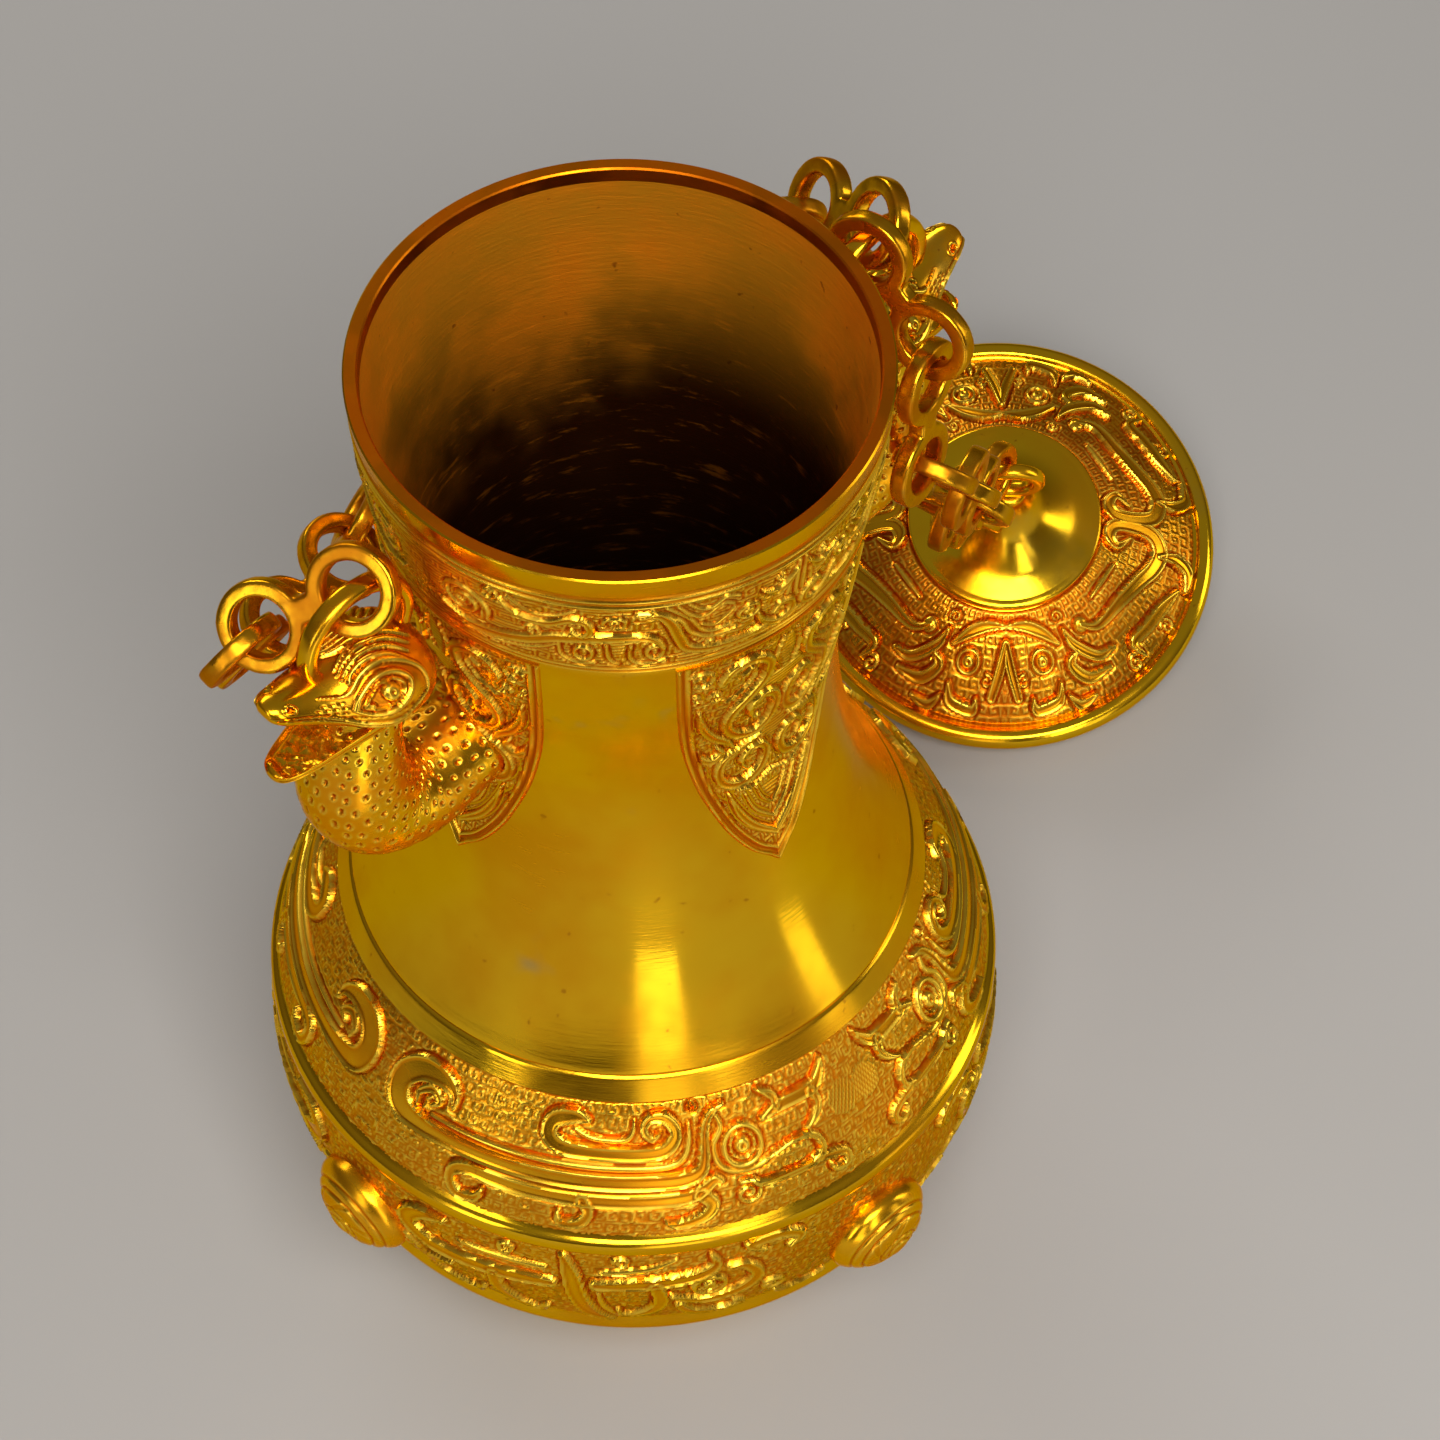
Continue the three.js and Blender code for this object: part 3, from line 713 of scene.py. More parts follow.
print("vessel and leaves described")


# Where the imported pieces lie, read from their own shapes

def spreadOf(node):
    # the centre of the surface in millimetres and its principal directions, the longest first
    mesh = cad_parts[node].data
    mesh.calc_loop_triangles()
    points = np.zeros(len(mesh.vertices) * 3)
    mesh.vertices.foreach_get("co", points)
    points = points.reshape(-1, 3) / mm
    corners = np.zeros(len(mesh.loop_triangles) * 3, np.int32)
    mesh.loop_triangles.foreach_get("vertices", corners)
    a, b, c = (points[corners.reshape(-1, 3)[:, k]] for k in range(3))
    area = np.linalg.norm(np.cross(b - a, c - a), axis=1) / 2
    centre = ((a + b + c) / 3 * area[:, None]).sum(0) / area.sum()
    a, b, c = a - centre, b - centre, c - centre
    total = a + b + c
    spread = sum(np.einsum("i,ij,ik->jk", area / 12, v, v) for v in (a, b, c, total))
    return points, centre, np.linalg.eigh(spread)[1][:, ::-1].T


def linkPlace(node):
    centre, axes = spreadOf(node)[1:]
    return np.stack([axes[0], axes[1], np.cross(axes[0], axes[1])], 1), centre


def lidPlace():
    # the lid's axis is the direction it spreads least in, and its eye shows which way it is turned
    points, centre, axes = spreadOf("lid")
    axis = axes[2] if axes[2][2] > 0 else -axes[2]
    along = (points - centre) @ axis
    high = points[along > along.max() - lid["eyeDepth"]] - centre
    flat = high - np.outer(high @ axis, axis)
    side = np.linalg.eigh(flat.T @ flat)[1][:, 2]
    side = side if side[0] > 0 else -side
    onAxis = high.mean(0) + centre
    onAxis = onAxis - axis * ((onAxis - centre) @ axis)
    origin = onAxis + axis * (((points - onAxis) @ axis).max() - lid["eyeTop"])
    return np.stack([side, np.cross(axis, side), axis], 1), origin


# Whorl bosses: a dome with ringed edge and curling arms round a small stud

whorl = {
    "azimuths": [-90, 0, 90, 180],
    "centreRadius": 71.1,
    "centreHeight": 52.5,
    "droop": 10.6,
    "outline": [(0, 7), (3.4, 6.7), (6.4, 5.7), (8.8, 4), (10.3, 2.4), (11.2, 0.8), (11.2, -1.5)],
    "rows": 60,
    "steps": 176,
    "arms": 6,
    "armTwist": 1.15,
    "armDepth": 0.17,
    "armsFrom": 3.2,
    "armsTo": 7.9,
    "rings": [(2.6, 0.4), (4.4, 0.36), (7.8, 0.4), (9.6, 0.34)],
    "stud": {"radius": 2.4, "rise": 0.35},
}


def makeBoss(number, azimuth):
    line = evenly(curveThrough(whorl["outline"]), whorl["rows"])[0]
    out, up = np.split(-across(line), 2, 1)
    rows, steps = whorl["rows"] - 1, whorl["steps"]
    angle = stepsRound(steps)
    r = line[:, :1]
    arms = np.cos(whorl["arms"] * (angle[None, :] + whorl["armTwist"] * np.log(np.maximum(r, 0.6))))
    within = smoothStep((r - whorl["armsFrom"]) / 0.6) * (1 - smoothStep((r - whorl["armsTo"]) / 0.6))
    height = -whorl["armDepth"] * within * smoothStep((arms - 0.55) / 0.4)
    for radius, depth in whorl["rings"]:
        height = height - depth * np.exp(-((r - radius) / 0.26) ** 2)
    stud = whorl["stud"]
    height = height + stud["rise"] * np.sqrt(np.clip(1 - (r / stud["radius"]) ** 2, 0, 1))
    points = aroundAxis(r + out * height, angle, line[:, 1:] + up * height).reshape(-1, 3)[steps:]
    points = np.vstack([points, [[0, 0, line[0, 1] + height[0].mean()], [0, 0, line[-1, 1]]]])
    tilt, way = math.radians(90 + whorl["droop"]), math.radians(azimuth)
    turned = np.array(Matrix.Rotation(way, 3, "Z") @ Matrix.Rotation(tilt, 3, "Y"))
    centre = np.array([whorl["centreRadius"] * math.cos(way), whorl["centreRadius"] * math.sin(way),
                       whorl["centreHeight"]])
    marks = marksOf(height[1:] + 0.5, 0, 0.6)
    marks = {key: np.r_[values.reshape(-1), [0, 0]] for key, values in marks.items()}
    quads = gridFaces(rows, steps, False, True)
    return makePiece(f"whorl_dome_{number}", moved(points, (turned, centre)), quads, poleFans(rows, steps),
                     marks=marks, sharp=60)


# Serpent lugs. All is given for the one on +X: how far out, how high

serpent = {
    "path": [(32, 180), (42, 178.5), (52, 177), (60, 180.5), (63.5, 189), (63, 198), (61, 206),
             (59.5, 212)],
    "radii": [9.6, 9.8, 10.2, 10.6, 10.8, 10.6, 10.0, 9.0, 7.8, 6.8],
    "startsOut": 36.9,
    "rows": 200,
    "sides": 164,
    "pits": {"along": 2.6, "around": 21, "girth": 10.2, "length": 0.5, "width": 0.36, "depth": 0.6,
             "lip": 0.1},
    "skull": [(47.5, 213.5, 4.2, 4.2), (48.8, 213.8, 6.9, 6.6), (51, 214.5, 9.1, 8.6),
              (54.5, 215.2, 10.5, 9.5), (58, 215.7, 10.9, 9.7), (61.5, 216.2, 10.5, 9.3),
              (65, 216.9, 9.1, 7.8), (68.5, 218.0, 7.3, 6.2), (72, 219.3, 5.8, 4.8),
              (75, 220.6, 4.7, 3.85), (78, 221.9, 3.7, 3.0), (79.6, 222.6, 2.8, 2.2),
              (80.4, 222.95, 1.9, 1.5), (80.7, 223.1, 0.8, 0.6)],
    "skullRows": 190,
    "skullSides": 200,
    "jaw": [(56, 210.5, 8, 5), (60, 209.9, 7.9, 4.6), (64, 209, 7.3, 3.9), (69, 207.4, 6, 2.9),
            (73, 206.3, 5.1, 2.35), (77, 205.5, 4.0, 1.85), (79.3, 205.2, 2.9, 1.5),
            (80.3, 205.2, 1.9, 1.1), (80.7, 205.2, 0.8, 0.5)],
    "jawRows": 110,
    "jawSides": 120,
    "arch": {"centre": (60, 228), "radius": 10.5, "from": -25, "sweep": 230, "thick": 1.45,
             "wide": 1.85, "rows": 72, "sides": 28},
}


def stretched(rows, count):
    # distances out from the first row to the last, closer together at both ends
    t = np.linspace(0, 1, count)
    return rows[0][0] + (rows[-1][0] - rows[0][0]) * (t - 0.045 * np.sin(turn * t))


def loftAcross(rows, out, angle, shape):
    # upright sections at the given distances out, shaped by a function of the angle
    smooth = curveThrough(np.array(rows, float), 10)
    centre, wide, tall = (np.interp(out, smooth[:, 0], smooth[:, k]) for k in (1, 2, 3))
    side, up = shape(angle[None, :], wide[:, None], tall[:, None], out[:, None])
    return np.stack([np.broadcast_to(out[:, None], side.shape), side, centre[:, None] + up], -1)


def squarish(count, wide, tall, power):
    # a wire's section between round and square
    waves = np.cos(stepsRound(count)), np.sin(stepsRound(count))
    return [reach * np.sign(wave) * np.abs(wave) ** (2 / power) for reach, wave in zip((wide, tall), waves)]


def gridNormals(points):
    # normals of a closed loft, by its neighbours
    along = np.gradient(points, axis=0)
    around = np.roll(points, -1, 1) - np.roll(points, 1, 1)
    normal = np.cross(along, around)
    return normal / np.maximum(np.linalg.norm(normal, axis=-1, keepdims=True), 1e-9)


def loftPiece(name, points, height, way, top=0.5, sharp=60):
    # a closed loft raised along its normals, turned about the vessel's axis, flat at both ends
    rows, sides = points.shape[:2]
    normal = gridNormals(points)
    outward = np.einsum("ijk,ijk->", normal, points - points.mean(1, keepdims=True))
    points = points + normal * height[..., None] * (1 if outward > 0 else -1)
    turned = points.reshape(-1, 3) @ np.array(Matrix.Rotation(way, 3, "Z")).T
    quads = gridFaces(rows, sides, False, True)
    last = (rows - 1) * sides
    caps = [list(range(sides))[::-1], list(range(last, last + sides))]
    marks = {key: values.reshape(-1) for key, values in marksOf(height + top, 0, top).items()}
    return makePiece(name, turned, quads, caps, marks=marks, sharp=sharp)


def makeTube(name, way):
    line = evenly(curveThrough(serpent["path"], 16), 700)[0]
    at = np.linspace(0, 1, len(line))
    radius = np.interp(at, np.linspace(0, 1, len(serpent["radii"])), serpent["radii"])
    first = np.argmax(line[:, 0] >= serpent["startsOut"])
    rows = np.linspace(first, len(line) - 1, serpent["rows"]).astype(int)
    line, radius = line[rows], softened(np.stack([radius[rows]] * 3, 1), 6)[:, 1]
    along = np.gradient(line, axis=0)
    along /= np.linalg.norm(along, axis=1)[:, None]
    angle = stepsRound(serpent["sides"])
    over = np.stack([-along[:, 1], along[:, 0]], 1)
    points = np.zeros((len(line), serpent["sides"], 3))
    points[..., 0] = line[:, :1] + over[:, :1] * radius[:, None] * np.sin(angle)
    points[..., 1] = radius[:, None] * np.cos(angle)
    points[..., 2] = line[:, 1:] + over[:, 1:] * radius[:, None] * np.sin(angle)
    pits = serpent["pits"]
    distance = np.r_[0, np.cumsum(np.linalg.norm(np.diff(line, axis=0), axis=1))][:, None]
    row = np.round(distance / pits["along"])
    place = angle[None, :] / turn * pits["around"] + 0.5 * (row % 2)
    column = np.round(place)
    jitter = np.sin(row * 12.9 + column % pits["around"] * 78.2) * 0.3
    sideways = (place - column) * turn * pits["girth"] / pits["around"] + jitter
    lengthways = distance - row * pits["along"] + jitter * 0.8
    away = np.hypot(lengthways / pits["length"], sideways / pits["width"])
    height = -pits["depth"] * np.exp(-away ** 2) + pits["lip"] * np.exp(-((away - 1.7) / 0.45) ** 2)
    return loftPiece(name, points, height, way)


# What is drawn on each side of the skull: how far out, and the way round it from its flank upwards

skullMarks = {
    "arcs": [
        [(66.0, 9.0), (64.6, 10.8), (61.4, 11.5), (57.6, 10.5), (55.0, 8.2)],
        [(66.6, 10.3), (64.6, 12.0), (61.0, 12.7), (56.8, 11.7), (53.9, 9.2)],
        [(66.8, 11.7), (64.4, 13.2), (60.6, 13.8), (56.0, 12.8), (52.8, 10.2)],
        [(66.6, 13.0), (63.8, 14.3), (60, 14.9), (55.2, 13.9), (51.8, 11.2)],
    ],
    "eyeRim": [(67.0, 2.9), (65.6, 5.9), (62.4, 8.1), (58.8, 8.0), (56.4, 5.8), (57.2, 3.2), (60.6, 1.5),
               (64.4, 1.5), (67.0, 2.9)],
    "eyeInner": [(65.4, 3.2), (64.1, 5.2), (61.9, 6.9), (59.2, 6.8), (57.8, 5.4), (58.4, 3.8),
                 (60.9, 2.7), (63.7, 2.5), (65.4, 3.2)],
    "browLine": [(71.5, 8.4), (68.8, 7.2), (66.8, 7.4), (63.6, 9.8), (59.4, 10.2), (55.4, 8.2),
                 (53.2, 5.2), (53.4, 1.4), (56.2, -0.4)],
    "lip": [(80.2, 2.8), (77, 2.6), (73, 2.0), (69.6, 0.4), (66.4, -1.2), (62.6, -1.6), (58.4, -0.9),
            (54.6, 0.8)],
    "lipLower": [(79.6, 1.2), (76.4, 0.8), (72.6, 0.3), (69.2, -1.1), (66.0, -2.7), (62.2, -3.1),
                 (57.6, -2.4)],
    "ball": (60.6, 5.1, 1.7),
    "tear": (64.4, 3.5, 0.7),
    "nostril": (76.9, 7.2, 0.85),
    "socket": {"x": 61.6, "y": 4.6, "long": 4.4, "tall": 3.0},
    "cheek": {"rows": [(5.4, 68.8, 73), (3.9, 68.4, 73.6), (2.3, 68.6, 71.8), (0.5, 57.4, 69.4)],
              "gap": 1.45, "long": 0.46, "tall": 0.32},
    "halfGirth": 9.6,
}


def drawSkull(points, angle):
    plan = skullMarks
    shape = points.shape[:2]
    reach = np.broadcast_to(np.arcsin(np.sin(angle)) * plan["halfGirth"], shape)
    field = blankField(points[..., 0].copy(), reach.copy())
    ridges = [
        ("eyeRim", [0.5], 0.62), ("eyeInner", [0.32], 0.34), ("browLine", [0.3, 0.5, 0.5, 0.3], 0.5),
        ("lip", [0.35, 0.5, 0.5, 0.4, 0.25], 0.5), ("lipLower", [0.3, 0.45, 0.5, 0.3], 0.42)]
    for key, widths, rise in ridges:
        raiseRidge(field, curveThrough(withWidths(plan[key], widths)), rise)
    for arc in plan["arcs"]:
        raiseRidge(field, curveThrough(withWidths(arc, [0.25, 0.52, 0.55, 0.52, 0.25])), 0.62)
    for key, rise, pit in (("ball", 1.15, 0.3), ("tear", 0.5, 0.2)):
        boss(field, *plan[key], rise, pit)
    x, y, radius = plan["nostril"]
    girth = np.abs(points[..., 1]).max(1)[:, None] / plan["halfGirth"]
    away = np.hypot(field["x"] - x, (field["y"] - y) * girth)
    rim, hole = np.exp(-((away - radius) / 0.24) ** 2), np.exp(-(away / 0.45) ** 2)
    height = field["height"] + 0.45 * rim - 0.6 * hole
    socket = plan["socket"]
    away = np.hypot((field["x"] - socket["x"]) / socket["long"],
                    (field["y"] - socket["y"]) / socket["tall"])
    height = height - 0.5 * (1 - smoothStep((away - 0.55) / 0.45)) * (field["height"] < 0.3)
    cheek = plan["cheek"]
    for level, start, end in cheek["rows"]:
        for at in np.arange(start, end, cheek["gap"]):
            upright = (field["y"] - level) * girth / cheek["tall"]
            height = height - 0.34 * np.exp(-np.hypot((field["x"] - at) / cheek["long"], upright) ** 2)
    return height


def makeSkull(name, way):
    out = stretched(serpent["skull"], serpent["skullRows"])
    angle = stepsRound(serpent["skullSides"])

    def section(a, wide, tall, at):
        ahead = smoothStep((at - 62) / 8)
        under = smoothStep((-np.sin(a) - 0.45) / 0.4) * ahead
        cheek = 1 + 0.05 * np.exp(-((at - 62) / 5) ** 2) * np.cos(a) ** 2
        return wide * np.cos(a) * cheek, tall * np.sin(a) * (1 - 0.42 * under)

    points = loftAcross(serpent["skull"], out, angle, section)
    height = drawSkull(points, angle)
    fade = smoothStep((out[-1] - out) / 0.9)[:, None] * smoothStep((out - out[0]) / 0.6)[:, None]
    below = smoothStep((-np.sin(angle)[None, :] - 0.6) / 0.3)
    rough = wandering(points[..., 0], points[..., 1], 2.2, 8) * below
    return loftPiece(name, points, (height + 0.3 * rough) * fade, way)


def makeJaw(name, way):
    out = stretched(serpent["jaw"], serpent["jawRows"])
    angle = stepsRound(serpent["jawSides"])

    def section(a, wide, tall, at):
        hollow = smoothStep((np.sin(a) - 0.1) / 0.35)
        hollow = hollow * smoothStep((at - 58) / 4) * smoothStep((80 - at) / 2.2)
        up = tall * np.sin(a) * (1 - 1.35 * hollow)
        lip = 0.6 * np.exp(-((np.sin(a) - 0.16) / 0.17) ** 2) * smoothStep((at - 60) / 5)
        return wide * np.cos(a) * (1 - 0.1 * hollow), up + lip

    points = loftAcross(serpent["jaw"], out, angle, section)
    lift, ahead = np.sin(angle)[None, :], out[:, None]
    inside = smoothStep((lift - 0.42) / 0.2) * smoothStep((ahead - 58) / 3)
    rough = wandering(points[..., 0], points[..., 1], 4, 4)
    rough = rough + 0.35 * wandering(points[..., 0], points[..., 1], 1.9, 6)
    line = np.exp(-((lift + 0.12) / 0.09) ** 2) * smoothStep((ahead - 60) / 3)
    fade = smoothStep((out[-1] - out) / 0.8)[:, None]
    return loftPiece(name, points, (0.35 * rough * inside - 0.28 * line) * fade, way)


def makeArch(name, way):
    plan = serpent["arch"]
    angle = np.radians(plan["from"] + plan["sweep"] * np.linspace(0, 1, plan["rows"]))[:, None]
    side, lift = squarish(plan["sides"], plan["wide"], plan["thick"], 2.9)
    radius = plan["radius"] + lift[None, :] + 0 * angle
    points = np.stack([
        plan["centre"][0] + radius * np.cos(angle),
        np.broadcast_to(side[None, :], radius.shape),
        plan["centre"][1] + radius * np.sin(angle),
    ], -1)
    height = 0.1 * wandering(points[..., 0] + points[..., 1], points[..., 2], 6, 2)
    return loftPiece(name, points, height, way)


# Lid: a turned dome with a trumpet and an eye, and a carved ring laid into it

lid = {
    "steps": 240,
    "eyeTop": 49.6,
    "eyeDepth": 8,
    "top": [(0, 36.6), (3.4, 36.4), (3.9, 33), (5.4, 29.2), (7.9, 25.8), (11.2, 22.9), (15.1, 20.5),
            (19.6, 19)],
    "step": [(19.6, 19), (21.2, 18.6), (21.5, 17.2)],
    "relief": [(43.5, 2.35), (42, 3.9), (36.5, 8.4), (30.5, 12.6), (24.5, 16), (21.5, 17.2)],
    "rim": [(43.9, 1.9), (45, 2.5), (46.6, 2.3), (47.75, 1), (47.75, -1.2), (46.6, -1.5)],
    "under": [(46.6, -1.5), (44, -1.5), (43.2, -8.4), (42.6, -9), (41.3, -9), (41, -1)],
    "hollow": [(41, -1), (39.4, 1.8), (34, 6.6), (28, 10.8), (22, 14.2), (16, 16), (0, 16.6)],
    "eye": {"radius": 5.8, "wire": 1.6, "height": 42.2, "rows": 96, "sides": 28},
    "columns": 960,
    "rows": 88,
    "rise": 0.95,
    "bold": 1.2,
    "ground": {"cell": 2.2, "rounds": 1.0, "rise": 0.16},
    "strokes": [
        ("bandGrooved", [0.4, 1.2, 1.5, 1.6, 1.5, 1.2, 0.5], [
            (27.5, -3.7), (24.6, -5.8), (22.9, -3.6), (24.4, -1.2), (29, -0.9), (33, -2.2), (34.4, -5.6),
            (32.8, -9.4), (29.4, -13), (25.2, -17.6), (20.4, -23), (16.4, -23.4)]),
        ("band", [0.5, 1.2, 1.1, 0.4], [(34.4, -6.4), (38.2, -6.2), (41, -8.4), (40.4, -12.6)]),
        ("band", [0.5, 1.1, 1.1, 0.9, 0.4], [
            (38.6, -13), (35, -17.4), (31.6, -21.8), (28.6, -25.4), (31.4, -27.4)]),
        ("ridge", [0.3, 0.5, 0.3], [(24, -10), (21.4, -13.8), (18.8, -17.6)]),
        ("band", [0.5, 1.1, 1.0, 0.4], [(23.4, -30.8), (18.6, -33.4), (14.6, -31.4), (15.8, -28.6)]),
        ("band", [0.5, 1.0, 1.0, 0.4], [(24, -26.8), (20.4, -29), (15, -27.4), (12.4, -24.6)]),
        ("band", [0.5, 1.1, 1.1, 0.5], [(0, -24.6), (4, -24.4), (7.6, -25.4), (11.4, -27.4)]),
        ("band", [0.4, 1.0, 1.0, 0.4], [(12.4, -35), (12, -38.4), (7.4, -40.4), (6.4, -38.4)]),
        ("band", [0.8, 1.0, 0.9], [(0, -28), (1.2, -33), (3, -38.2)]),
        ("band", [0.4, 0.9, 0.4], [(20.4, -36.4), (17, -38.6), (14.4, -37.2)]),
    ],
    "spirals": [(29.6, -29.2, 1.9, 0.4, 40, 1.4, 0.42), (36.6, -20.6, 1.7, 0.4, 200, -1.3, 0.4),
                (4.2, -35.2, 1.3, 0.3, 90, 1.2, 0.32), (11, -22.2, 1.2, 0.3, 0, 1.2, 0.32)],
    "beastEye": {"x": 8.2, "y": -31.2, "ring": 2.3, "boss": 1.35},
    "blob": {"x": 16.6, "y": -23.4, "boss": 1.7},
}


def makeLidBody(place):
    outline = profileThrough([lid["top"], lid["step"]])
    ledge = inset(lid["relief"], 0.8)[::-1]
    rest = profileThrough([lid["rim"], lid["under"], lid["hollow"]])
    line = np.vstack([outline, ledge, rest])
    keep = np.r_[True, np.linalg.norm(np.diff(line, axis=0), axis=1) > 0.04]
    return turnedSolid("lid_dome", line[keep], lid["steps"], place, sharp=32)


def makeLidRelief(place):
    line = inset(lid["relief"], 0.3)
    radius = evenly(line, lid["rows"])[0][:, :1]
    angle = np.radians(np.linspace(-90, 0, lid["columns"] // 4 + 1))[None, :]
    field = blankField(radius * np.cos(angle), radius * np.sin(angle))
    drawStrokes(field, lid["strokes"], 1, lid["rise"], lid["bold"])
    spiralStrokes(field, lid["spirals"], 1)
    eye, blob, squares = lid["beastEye"], lid["blob"], lid["ground"]
    raiseRing(field, eye["x"], eye["y"], eye["ring"], 0.42, 0.62)
    boss(field, eye["x"], eye["y"], eye["boss"], 0.8, 0.35)
    boss(field, blob["x"], blob["y"], blob["boss"], 0.95, 0.4)
    around = np.degrees(angle) * 0.57 + 0 * radius
    ground = leiwen(around, radius + 0 * angle, squares["cell"], squares["rounds"])
    addGround(field, ground, squares["rise"])
    return carvedRing("lid_relief", line, lid, field, 0.8, place)


def makeLidEye(place):
    plan = lid["eye"]
    rows, sides = plan["rows"], plan["sides"]
    angle = stepsRound(rows)[:, None]
    side, lift = squarish(sides, plan["wire"], plan["wire"], 2.7)
    radius = plan["radius"] + lift[None, :]
    points = np.stack([radius * np.cos(angle), np.broadcast_to(side, (rows, sides)),
                       plan["height"] + radius * np.sin(angle)], -1)
    points = moved(points.reshape(-1, 3), place)
    return makePiece("lid_eye", points, gridFaces(rows, sides, True, True), sharp=60)


print("lugs, bosses and lid described")


# Node helpers

def newTree(name, kind, inputs, outputs):
    tree = bpy.data.node_groups.new(name, kind)
    for side, sockets in (("INPUT", inputs), ("OUTPUT", outputs)):
        for label, sort, *value in sockets:
            socket = tree.interface.new_socket(label, in_out=side, socket_type="NodeSocket" + sort)
            if value:
                socket.default_value = value[0]
    return tree, tree.nodes.new("NodeGroupInput").outputs, tree.nodes.new("NodeGroupOutput").inputs


def node(tree, kind, inputs=None, **settings):
    made = tree.nodes.new(kind)
    for key, value in settings.items():
        setattr(made, key, value)
    for key, value in (inputs or {}).items():
        feed(tree, made.inputs[key], value)
    return made


def feed(tree, socket, value):
    if isinstance(value, bpy.types.NodeSocket):
        tree.links.new(value, socket)
    elif value is not None:
        socket.default_value = value


def doMath(tree, operation, *values):
    made = tree.nodes.new("ShaderNodeMath")
    made.operation = operation
    for socket, value in zip(made.inputs, values):
        feed(tree, socket, value)
    return made.outputs[0]


def doTimes(tree, first, second):
    return doMath(tree, "MULTIPLY", first, second)


def doMap(tree, value, low, high, toLow=0.0, toHigh=1.0):
    made = node(tree, "ShaderNodeMapRange", interpolation_type="SMOOTHSTEP")
    labels = "Value", "From Min", "From Max", "To Min", "To Max"
    for label, given in zip(labels, (value, low, high, toLow, toHigh)):
        feed(tree, made.inputs[label], given)
    return made.outputs["Result"]


def doMix(tree, factor, first, second, blend="MIX"):
    made = node(tree, "ShaderNodeMix", data_type="RGBA", blend_type=blend)
    feed(tree, made.inputs["Factor"], factor)
    for socket, value in ((made.inputs[6], first), (made.inputs[7], second)):
        feed(tree, socket, (*value, 1) if isinstance(value, tuple) and len(value) == 3 else value)
    return made.outputs[2]


def doNoise(tree, vector, scale, detail=3.0, roughness=0.55):
    inputs = {"Vector": vector, "Scale": scale, "Detail": detail, "Roughness": roughness}
    return node(tree, "ShaderNodeTexNoise", inputs).outputs["Fac"]


# Shared effects. Each takes the object's own coordinates in metres and gives masks or heights

def makeTarnish():
    tree, given, outputs = newTree("uneven_gilding", "ShaderNodeTree",
                                   [("Vector", "Vector"), ("Scale", "Float", 45.0)],
                                   [("Clouds", "Float"), ("Patches", "Float"), ("Specks", "Float")])
    place, scale = given["Vector"], given["Scale"]
    clouds = doNoise(tree, place, scale, 4.0, 0.6)
    feed(tree, outputs["Clouds"], doMap(tree, clouds, 0.36, 0.66))
    wide = doNoise(tree, place, doTimes(tree, scale, 0.55), 5.0, 0.68)
    feed(tree, outputs["Patches"], doMap(tree, wide, 0.57, 0.7))
    fine = doNoise(tree, place, doTimes(tree, scale, 16.0), 2.0, 0.5)
    feed(tree, outputs["Specks"], doMap(tree, fine, 0.7, 0.77))
    return tree


def makeScratches():
    # fine marks that run round the vessel's own axis
    tree, given, outputs = newTree("turning_marks", "ShaderNodeTree",
                                   [("Vector", "Vector"), ("Fineness", "Float", 1500.0)],
                                   [("Height", "Float"), ("Streaks", "Float")])
    parts = node(tree, "ShaderNodeSeparateXYZ", {"Vector": given["Vector"]}).outputs
    away = doMath(tree, "ABSOLUTE", doMath(tree, "ARCTAN2", parts["Y"], parts["X"]))
    flat = node(tree, "ShaderNodeCombineXYZ", {
        "X": doTimes(tree, away, 7.0),
        "Y": doTimes(tree, parts["Z"], given["Fineness"]),
        "Z": doTimes(tree, parts["Y"], 25.0),
    }).outputs[0]
    feed(tree, outputs["Height"], doNoise(tree, flat, 1.0, 3.0, 0.65))
    coarse = node(tree, "ShaderNodeVectorMath", {0: flat, 1: (0.55, 0.28, 0.5)}, operation="MULTIPLY")
    streaks = doNoise(tree, coarse.outputs[0], 1.0, 4.0, 0.7)
    feed(tree, outputs["Streaks"], doMap(tree, streaks, 0.55, 0.72))
    return tree


def makeWearAndPaintedLight():
    # raised edges brightened as rubbed gilding with a painted highlight, and hollows darkened as dirt with
    # painted shade, from the marks written with the carving
    tree, given, outputs = newTree("wear_dirt_and_painted_light", "ShaderNodeTree",
                                   [("Vector", "Vector"), ("Worn", "Float", 0.0), ("Recess", "Float", 0.0)],
                                   [("Rubbed", "Float"), ("Dirt", "Float")])
    uneven = doNoise(tree, given["Vector"], 180.0, 3.0, 0.6)
    feed(tree, outputs["Rubbed"], doTimes(tree, given["Worn"], doMap(tree, uneven, 0.3, 0.6, 0.55, 1.0)))
    wide = doNoise(tree, given["Vector"], 60.0, 4.0, 0.65)
    sunk, patchy = doMap(tree, given["Recess"], 0.4, 0.95), doMap(tree, wide, 0.32, 0.62, 0.45, 1.0)
    feed(tree, outputs["Dirt"], doTimes(tree, sunk, patchy))
    return tree


tarnish, scratches, wearAndPaintedLight = makeTarnish(), makeScratches(), makeWearAndPaintedLight()

